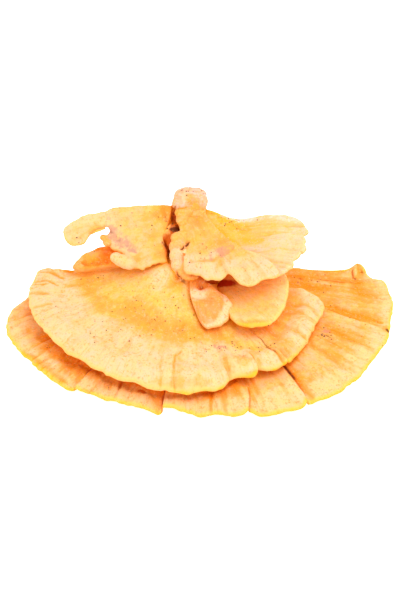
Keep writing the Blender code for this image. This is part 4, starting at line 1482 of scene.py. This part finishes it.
RIGHT_FAN = Sheet(
    name="right_fan_flesh", seed=59, grain=0.75,
    root=[(4, -36, 82), (12, -24, 86), (13, -12, 91), (10, -4, 95)],
    rim=[
        (68, -69, 72), (78, -63, 74), (83, -59, 76), (88, -51, 79), (93, -45, 81), (96, -36, 83),
        (95, -30, 85), (98, -23, 86), (94, -14, 89), (88, -9, 91), (80, -6, 92),
    ],
    swell=[(0, 0), (0.4, -6.5), (0.8, -1), (1, 0)],
    thickness=[(0, 14), (0.5, 9), (0.85, 5.5), (1, 3.4)],
    band=[(0, 54), (0.5, 50), (1, 38)],
    blush=[(0, 0.2), (1, 0.6)],
    wrinkle=[(0, 1.2), (0.5, 1.6), (1, 1.2)],
    wrinkle_gap=8.0, wrinkle_reach=60.0,
    folds=[
        ((98, -20), 1.2, 0.3, 2.6, 0.7), ((96, -29), 1.0, 0.4, 2.6, 0.5),
        ((96, -37), 0.8, 0.2, 2.4, 0.4), ((92, -46), 1.0, 0.25, 2.4, 0.5),
        ((86, -54), 0.7, 0.2, 1.8, 0.3),
    ],
    patches=dict(
        stain=[((42, -6), (18, 4), 1.0, -5), ((82, -11), (14, 4), 0.8, -10)],
        warm=[((74, -31), (18, 10), -0.45), ((52, -42), (9, 6), -0.8, -30)],
    ),
    trails=dict(
        warm=[
            (((14, -5), (26, -9), (36, -12), (46, -14)), 2.2, 1.4, 0.5),
            (((18, -18), (28, -25), (40, -32)), 4.0, -1.0, 0.9),
            (((22, -8), (36, -13), (50, -17)), 4.4, -0.7, 1.3),
            (((40, -25), (50, -28), (60, -30)), 3.2, 0.0, 0.8),
            (((30, -10), (44, -18), (62, -24), (80, -26)), 2.4, -0.8, 0.4),
        ],
    ),
)
right_fan = grow(RIGHT_FAN)
flap_forms = [form_of(FLAP)] + [form_of_lump(*lump) for lump in FLAP_LUMPS]
centre_flap = fuse("centre_flap_flesh", flap_forms, CROWN_VOXEL, CROWN_SOFTENING)
take_masks(centre_flap, flap_forms)
flap_flesh = flesh(
    "flap_flesh",
    ground=(249, 171, 90), amber=(248, 157, 66), warm=(244, 140, 52), pale=(250, 185, 136),
    rim=(249, 186, 104), streaks=0.35, blotch=0.5, rim_width=1.4,
)
dress(centre_flap, "centre_flap", "upper_flesh", flap_flesh)
fan_flesh = flesh(
    "fan_flesh",
    ground=(250, 189, 118), amber=(250, 176, 70), warm=(250, 168, 34), pale=(250, 190, 144),
    rim=(249, 188, 112), stain=(250, 206, 184), streaks=0.3, blotch=0.5, rim_width=0.8,
)
dress(right_fan, "right_fan", "upper_flesh", fan_flesh)

# %% [markdown]
# The margin of the left fan was torn, so its edge is rough and stained, and a finger of it stands
# off to the left. The finger is a sheet of its own with thick flesh. Small lumps along the edge turn
# the torn margin into a row of swollen knobs.

# %% The left fan with its finger
LEFT_FAN = Sheet(
    name="left_fan_flesh", seed=67, grain=0.8,
    root=[
        (-14, -6, 100.5), (-15.5, -12, 95), (-17.5, -18, 90.5), (-20.5, -23, 86), (-22, -27, 82.5),
        (-19.5, -31, 78.5), (-18.5, -35, 75), (-19, -37, 72.5), (-17.5, -40, 68),
    ],
    rim=[
        (-64, -4, 97), (-70, -8, 94), (-67, -13, 87), (-66, -17, 82.5), (-72, -20, 79), (-68, -23, 75),
        (-64, -26, 73), (-60, -28, 72), (-57, -31, 71), (-54, -35, 69), (-50, -39, 66), (-45, -42, 64),
        (-38, -43, 63),
    ],
    swell=[(0, 0), (0.5, 2), (0.8, 1), (1, 0)],
    thickness=[(0, 14), (0.5, 9), (0.85, 5.5), (1, 3.4)],
    band=[(0, 2), (0.5, 3), (0.7, 8), (1, 10)],
    blush=[(0, 0.3), (1, 0.3)],
    wrinkle=[(0, 0.2), (1, 0.3)],
    waves=0.5, zone=14.0, lumpy=1.6,
    mounds=[((-20, -9), (7, 5), 1.5), ((-22, -17), (6, 4), 1.2), ((-32, -14), (6, 9), -1.0)],
    patches=dict(
        # Next to the neck, the warm patch at (-20, -12), the hole patch and the fold patch are painted
        # shade in the gap.
        warm=[((-20, -12), (11, 8), 1.0), ((-43, -38), (4, 3), 0.8), ((-24, -36), (10, 7), 0.5)],
        hole=[((-20, -14), (5.5, 6), 0.5, 0, 1.0)],
        pale=[((-42, -14), (9, 5), 0.4), ((-52, -37), (8, 5), 0.7)],
        fold=[((-19, -35), (3, 6), 0.5)],
        stain=[((-69, -14), (6, 4), 0.8, -30)],
    ),
    trails=dict(
        stain=[
            (((-78, -10), (-71, -15), (-65, -18), (-59, -23), (-51, -28), (-43, -35)), 4.2, -0.6, 0.9),
        ],
        hole=[
            (((-71, -14), (-66, -17), (-62, -19)), 1.3, -0.5, 0.7),
            (((-61, -20), (-57, -24)), 1.8, -0.4, 0.6), (((-52, -27), (-49, -31)), 1.8, -0.4, 0.5),
            (((-48, -31), (-44, -35)), 1.6, -0.4, 0.4),
        ],
    ),
)
FINGER = Sheet(
    name="finger", seed=71, grain=0.8,
    root=[(-62, -6, 95), (-62, -11, 90), (-62, -15, 86)],
    rim=[
        (-82, -7, 93), (-90, -8, 91), (-97, -10, 87.5), (-103, -13, 84.5), (-105, -16, 81.5),
        (-102, -22, 78), (-97, -27, 76), (-91, -29, 76), (-86, -28.5, 76.5),
    ],
    swell=[(0, 0), (0.5, 0.5), (1, 0)],
    thickness=[(0, 6.5), (0.5, 6.5), (1, 4)],
    band=[(0, 60), (1, 60)],
    blush=[(0, 0.0), (1, 0.0)],
    wrinkle=[(0, 0.2), (1, 0.2)],
    waves=0.3, lumpy=1.8, bow=(0.0, 8.0),
    patches=dict(
        warm=[((-76, -17), (7, 4), 0.6), ((-92, -20), (16, 8), 0.3)],
    ),
)
LEFT_LUMPS = [
    ((-71, -20.5, 77.5), (3.2, 2.8, 2.6), 0.9), ((-68, -24, 74.5), (3.6, 3.0, 2.8), 0.5),
    ((-60, -37, 69), (5.2, 4.2, 4.8), 0.0, 1.0), ((-56, -39, 67.8), (6.4, 4.6, 5.4), 0.0, 1.0),
    ((-52, -40.5, 66.4), (6.4, 4.6, 5.4), 0.0, 1.0), ((-49, -41.5, 65.4), (5.0, 4.2, 4.6), 0.0, 1.0),
]
left_forms = [form_of(LEFT_FAN), form_of(FINGER)] + [form_of_lump(*lump) for lump in LEFT_LUMPS]
left_fan = fuse("left_fan_flesh", left_forms, CROWN_VOXEL, CROWN_SOFTENING)
take_masks(left_fan, left_forms)
left_flesh = flesh(
    "left_flesh",
    ground=(249, 178, 112), amber=(248, 165, 72), warm=(238, 140, 48), pale=(250, 188, 132),
    rim=(249, 182, 98), stain=(200, 146, 120), streaks=0.3, blotch=0.7, rim_width=1.6,
)
dress(left_fan, "left_fan", "upper_flesh", left_flesh)
print("left fan:", len(left_fan.data.vertices), "points")

# %% [markdown]
# The neck is a stack of lumps that ends in a knob, with a ridge down its front that carries the
# tongue. Its crevices are dark with brown dust and painted shade, and bits of bark sit in them. It is
# cut flat at the foot, where it was taken from the tree. Its masks are worked out from the places on
# its skin, because its lumps have none of their own to copy.

# %% The neck
NECK_LUMPS = [  # (middle, radii)
    ((2, -14, 2), (40, 36, 32)), ((2, -18, 34), (34, 33, 26)), ((4, -24, 54), (31, 30, 21)),
    ((3, -20, 68), (22, 22, 17)), ((1, -4, 88), (14, 12, 14)), ((-11, -4, 86), (10, 8, 13)),
    ((-14, -18, 79), (8.5, 7, 10)), ((-19, -21, 75), (9, 6.5, 11)), ((1, -4, 101), (12, 9.5, 10)),
    ((0, -3, 107.5), (13.5, 10, 5.2)), ((-7, -8, 103), (7.6, 6.5, 7.5)), ((-5, -5, 109), (8, 7, 3.8)),
    ((9.5, -7, 104), (5.4, 6, 8)), ((3, -9, 94), (10, 8, 6)), ((-12, -28, 74), (8, 7, 12)),
    ((-8, -44, 60), (9, 8, 9)), ((-3, -50, 56), (9, 8, 8)), ((-13, 0, 26), (22, 19, 15)),
    ((16, -3, 23), (22, 18, 14)), ((9, -3, 45), (22, 16, 14)), ((-14, -5, 50), (16, 14, 15)),
    ((-5, -3, 68), (15, 13, 13)), ((12, -5, 62), (13, 12, 12)), ((5, 0, 79), (11, 10, 10)),
]
NECK_MARKS = [  # mask, strength, place, radius
    ("warm", 0.7, (3, -12, 101), 5), ("warm", 0.5, (2.5, -12.4, 107.5), 4.5),
    ("pale", 0.5, (-9, -42, 71), 7), ("pale", 0.4, (-4, -32, 84), 5),
    # The fold marks are painted shade: in the gap beside the left fan, in a crack beside the knob, and
    # under the flap's lip.
    ("fold", 1.2, (-17.5, -29, 81), 7), ("fold", 0.6, (-12, -12, 92), 6),
    ("fold", 1.4, (18, -50, 53), 6),
]
KNOB_FROM = 96.0  # height at which the pale, stained knob begins
ORANGE_BELOW = 62.0
KNOB_BLEND = 8.0
NECK_VOXEL = 1.0
NECK_SOFTENING = 2
NECK_BUMPS = ((0.7, 9, 81, 3), (0.5, 3.6, 91, 2))  # (height, distance apart, seed, layers)


def cut_flat(obj):
    """Cuts an object at the ground and closes the cut."""
    mesh = bmesh.new()
    mesh.from_mesh(obj.data)
    everything = mesh.verts[:] + mesh.edges[:] + mesh.faces[:]
    cut = bmesh.ops.bisect_plane(
        mesh, geom=everything, plane_co=(0, 0, 0), plane_no=(0, 0, -1), clear_outer=True
    )
    ring = [part for part in cut["geom_cut"] if isinstance(part, bmesh.types.BMEdge)]
    bmesh.ops.contextual_create(mesh, geom=ring)
    mesh.to_mesh(obj.data)
    mesh.free()


def ball(points, at, size):
    """1 at a place and 0 well away from it."""
    return np.exp(-(((points - np.array(at)) / size) ** 2).sum(-1))


neck_forms = [form_of_lump(*lump) for lump in NECK_LUMPS]
neck = fuse("neck_flesh", neck_forms, NECK_VOXEL, NECK_SOFTENING)
skin = points_of(neck)
outward = np.array([v.normal for v in neck.data.vertices])
bumps = sum(height * rough(skin, *kind) for height, *kind in NECK_BUMPS)
knob_hollow = 0.9 * ball(skin, (2, -12.4, 109.5), 3.0)
move_points(neck, skin + outward * (bumps - knob_hollow)[:, None])
sink(neck)
cut_flat(neck)
skin = points_of(neck)

nothing = np.zeros(len(skin))
spotted = rough(skin, 3.0, 111, 2)
knob = smooth((skin[:, 2] - KNOB_FROM) / KNOB_BLEND)
neck_masks = {
    "warm": 0.2 + 0.5 * rough(skin, 9, 101) + 0.5 * (skin[:, 2] < ORANGE_BELOW),
    "pale": 0.9 * knob,
    "stain": knob * np.clip(0.25 + 0.9 * spotted, 0, 0.8),
    "hole": knob * np.clip(spotted - 0.45, 0, 0.5) * 1.4,
    "fold": nothing,
    "valley": np.clip(0.9 * rough(skin, 4.5, 121, 2), 0, 0.8),
    "crest": nothing,
    "rim": nothing + INLAND,
    "under": nothing,
    "fan": skin[:, [0, 2, 1]],
}
for kind, strength, at, size in NECK_MARKS:
    neck_masks[kind] = neck_masks[kind] + strength * ball(skin, at, size)
add_crack_dust_and_shade(neck_masks, skin)
store(neck.data, neck_masks)
neck_paint = flesh(
    "neck_flesh",
    ground=(249, 181, 100), amber=(247, 160, 76), warm=(242, 140, 60), pale=(249, 185, 158),
    rim=(248, 187, 106), stain=(226, 160, 124), streaks=0.2, blotch=0.7,
)
dress(neck, "neck", "neck_flesh", neck_paint)
print("neck:", len(neck.data.vertices), "points")

# %% [markdown]
# Deep between the shelves the light has bounced from flesh to flesh. Each bounce takes green and
# blue away, so the hollows glow orange instead of turning grey. Rays sent out from the points of
# each piece find how much flesh stands close round them, and that share is kept as one more mask.

# %% Find the sheltered places
RAYS = 12
RAY_REACH = 42.0
RAY_EVERY = 4  # the points between take their share from their neighbours
RAY_START = 0.8
RAY_SPREAD = 0.98  # a little under 1, so that a way out never cancels the normal
SHELTER_BLUR = 10


def directions(count):
    """Directions spread evenly over a ball."""
    place = (np.arange(count) + 0.5) / count
    up, turn = 1 - 2 * place, math.pi * (3 - math.sqrt(5)) * count * place
    flat = np.sqrt(1 - up**2)
    return np.stack([flat * np.cos(turn), flat * np.sin(turn), up], -1)


def tree_of(pieces):
    """Everything that a ray can meet."""
    points, faces = [], []
    for piece in pieces:
        start = len(points)
        points += points_of(piece).tolist()
        faces += [[i + start for i in face.vertices] for face in piece.data.polygons]
    return BVHTree.FromPolygons(points, faces)


def shelter(piece, tree, spread):
    """Keeps on each point how much of its view is taken up by flesh near it."""
    points = points_of(piece)
    normals = np.empty(points.size, np.float32)
    piece.data.vertices.foreach_get("normal", normals)
    normals = normals.reshape(-1, 3)
    near, known = np.zeros(len(points)), np.zeros(len(points))
    for i in range(0, len(points), RAY_EVERY):
        start = Vector(points[i] + RAY_START * normals[i])
        ways = (normals[i] + spread).tolist()
        gaps = [tree.ray_cast(start, Vector(way), RAY_REACH)[3] for way in ways]
        near[i] = sum(1 - gap / RAY_REACH for gap in gaps if gap is not None) / RAYS
        known[i] = 1.0
    near, known = (blurred(piece.data, mask, SHELTER_BLUR) for mask in (near, known))
    store(piece.data, {"shelter": near / np.maximum(known, 1e-6)})


pieces = [bottom_shelf, middle_shelf, round_shelf, tongue, left_lobe]
pieces += [centre_flap, right_fan, left_fan, neck]
cluster = tree_of(pieces)
for piece in pieces:
    shelter(piece, cluster, RAY_SPREAD * directions(RAYS))
print("sheltered:", len(pieces), "pieces")

# %% [markdown]
# Tiny bits of bark and soil have fallen on the cluster. Each is a small uneven grain that is dropped
# straight down until it meets the flesh, so it lies on the surface wherever that is. All of them
# are one mesh. They are thickest where the shelves make a hollow.

# %% Crumbs of bark
CRUMB_PLACES = [  # (middle of a drift, its radii, how many)
    ((-46, -66), (44, 30), 40), ((-12, -84), (26, 20), 14), ((30, -106), (34, 10), 26),
    ((66, -104), (9, 9), 10), ((-45, -18), (24, 12), 12), ((-18, -14), (7, 8), 14),
    ((14, -44), (20, 22), 12), ((36, -10), (28, 6), 14), ((98, -4), (24, 12), 26),
    ((111, -74), (5.5, 4), 18), ((0, -4), (13, 7), 16), ((-12, -62), (14, 9), 8),
    ((-85, -28), (14, 6), 14), ((130, -60), (26, 30), 12), ((-70, -96), (40, 20), 14),
]
CRUMB_SIZE = (0.3, 0.75)
CRUMB_SHAPE = (1.3, 1.0, 0.7)
DRIFT_SPREAD = 0.55
DROP_FROM = 200.0
CORNERS = [(1, 0, 0), (0, 1, 0), (-1, 0, 0), (0, -1, 0), (0, 0, 1), (0, 0, -1)]
SIDES = [(0, 1, 4), (1, 2, 4), (2, 3, 4), (3, 0, 4), (1, 0, 5), (2, 1, 5), (3, 2, 5), (0, 3, 5)]


def crumb(place, size, rng):
    """An uneven little octahedron that is half sunk in the flesh."""
    corners = np.array(CORNERS, float) * rng.uniform(0.6, 1.4, (6, 1)) * size * CRUMB_SHAPE
    turn = rng.uniform(0, math.pi)
    x = corners[:, 0] * math.cos(turn) - corners[:, 1] * math.sin(turn)
    y = corners[:, 0] * math.sin(turn) + corners[:, 1] * math.cos(turn)
    return np.stack([x, y, corners[:, 2]], -1) + place


def crumbs(tree):
    """All crumbs as one object."""
    rng = np.random.default_rng(7)
    points, faces = [], []
    for middle, spread, count in CRUMB_PLACES:
        for _ in range(count):
            x, y = np.array(middle) + rng.normal(0, DRIFT_SPREAD, 2) * spread
            size = rng.uniform(*CRUMB_SIZE)
            landing = tree.ray_cast(Vector((x, y, DROP_FROM)), Vector((0, 0, -1)))[0]
            if landing is None:
                continue
            faces += [tuple(i + len(CORNERS) * len(points) for i in side) for side in SIDES]
            points.append(crumb(tuple(landing), size, rng))
    obj = object_of("bark_crumbs", np.vstack(points), faces, {})
    obj.data.shade_flat()
    print("crumbs:", len(points))
    return obj


bark = crumbs(cluster)
bark_paint = Paint("dark_bark")
light_share = bark_paint.rise(bark_paint.noise(bark_paint.place(), 400.0, 2.0), 0.4, 0.65)
bark_colour = bark_paint.mix(colour(60, 26, 8), colour(120, 66, 24), light_share)
bark.data.materials.append(bark_paint.finish({"Base Color": bark_colour, "Roughness": 0.85}))
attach(bark, "root")

# %% [markdown]
# The cluster stands on a plain pale floor in soft studio light: a bright white sky all round, one
# large lamp above and in front, a weaker one from the left, and a floor that is bright enough to
# fade into the background. The camera looks down at the front from far away, so the shelves keep
# their proportions.

# %% Floor, light and camera
FLOOR_SIZE = 6.0
FLOOR_GLOW = 0.8
SKY_STRENGTH = 0.97
LAMP_AIM = (0, -0.05, 0.04)
CAMERA_TARGET = np.array([8.3, -42.6, 30.0])
CAMERA_TILT = math.radians(37)
CAMERA_DISTANCE = 1378.55


def floor():
    """A floor that is almost white, and shines a little itself."""
    bpy.ops.mesh.primitive_plane_add(size=FLOOR_SIZE, location=(0, 0, 0))
    plane = bpy.context.object
    plane.name = "floor"
    white = {"Emission Color": (1.0, 1.0, 1.0), "Emission Strength": FLOOR_GLOW}
    paint = Paint("pale_floor").finish({"Base Color": (0.9, 0.9, 0.9), "Roughness": 0.9, **white})
    plane.data.materials.append(paint)
    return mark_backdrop(plane)


def lamp(name, place, size, power):
    """A round lamp that shines on the cluster."""
    light = bpy.data.lights.new(name, "AREA")
    light.shape = "DISK"
    light.size = size
    light.energy = power
    obj = bpy.data.objects.new(name, light)
    bpy.context.scene.collection.objects.link(obj)
    obj.location = place
    obj.rotation_euler = (Vector(LAMP_AIM) - Vector(place)).to_track_quat("-Z", "Y").to_euler()


floor()
lamp("key", place=(0.35, -0.35, 0.9), size=0.8, power=6.2)
lamp("fill", place=(-1.0, -0.45, 0.4), size=0.9, power=2.6)
sky = bpy.data.worlds.new("sky")
bpy.context.scene.world = sky
sky.use_nodes = True
background = sky.node_tree.nodes["Background"]
background.inputs["Color"].default_value = (1, 1, 1, 1)
background.inputs["Strength"].default_value = SKY_STRENGTH
bpy.context.scene.view_settings.view_transform = "Standard"

camera_data = bpy.data.cameras.new("camera")
camera_data.lens = 100
camera_data.sensor_width = 36
camera = bpy.data.objects.new("camera", camera_data)
bpy.context.scene.collection.objects.link(camera)
looking = np.array([0, math.cos(CAMERA_TILT), -math.sin(CAMERA_TILT)])
camera.location = (CAMERA_TARGET - looking * CAMERA_DISTANCE) * MM
camera.rotation_euler = (math.pi / 2 - CAMERA_TILT, 0, 0)
bpy.context.scene.camera = camera
print("camera at", tuple(camera.location))

# %% [markdown]
# With the camera in place, the scene is finished.
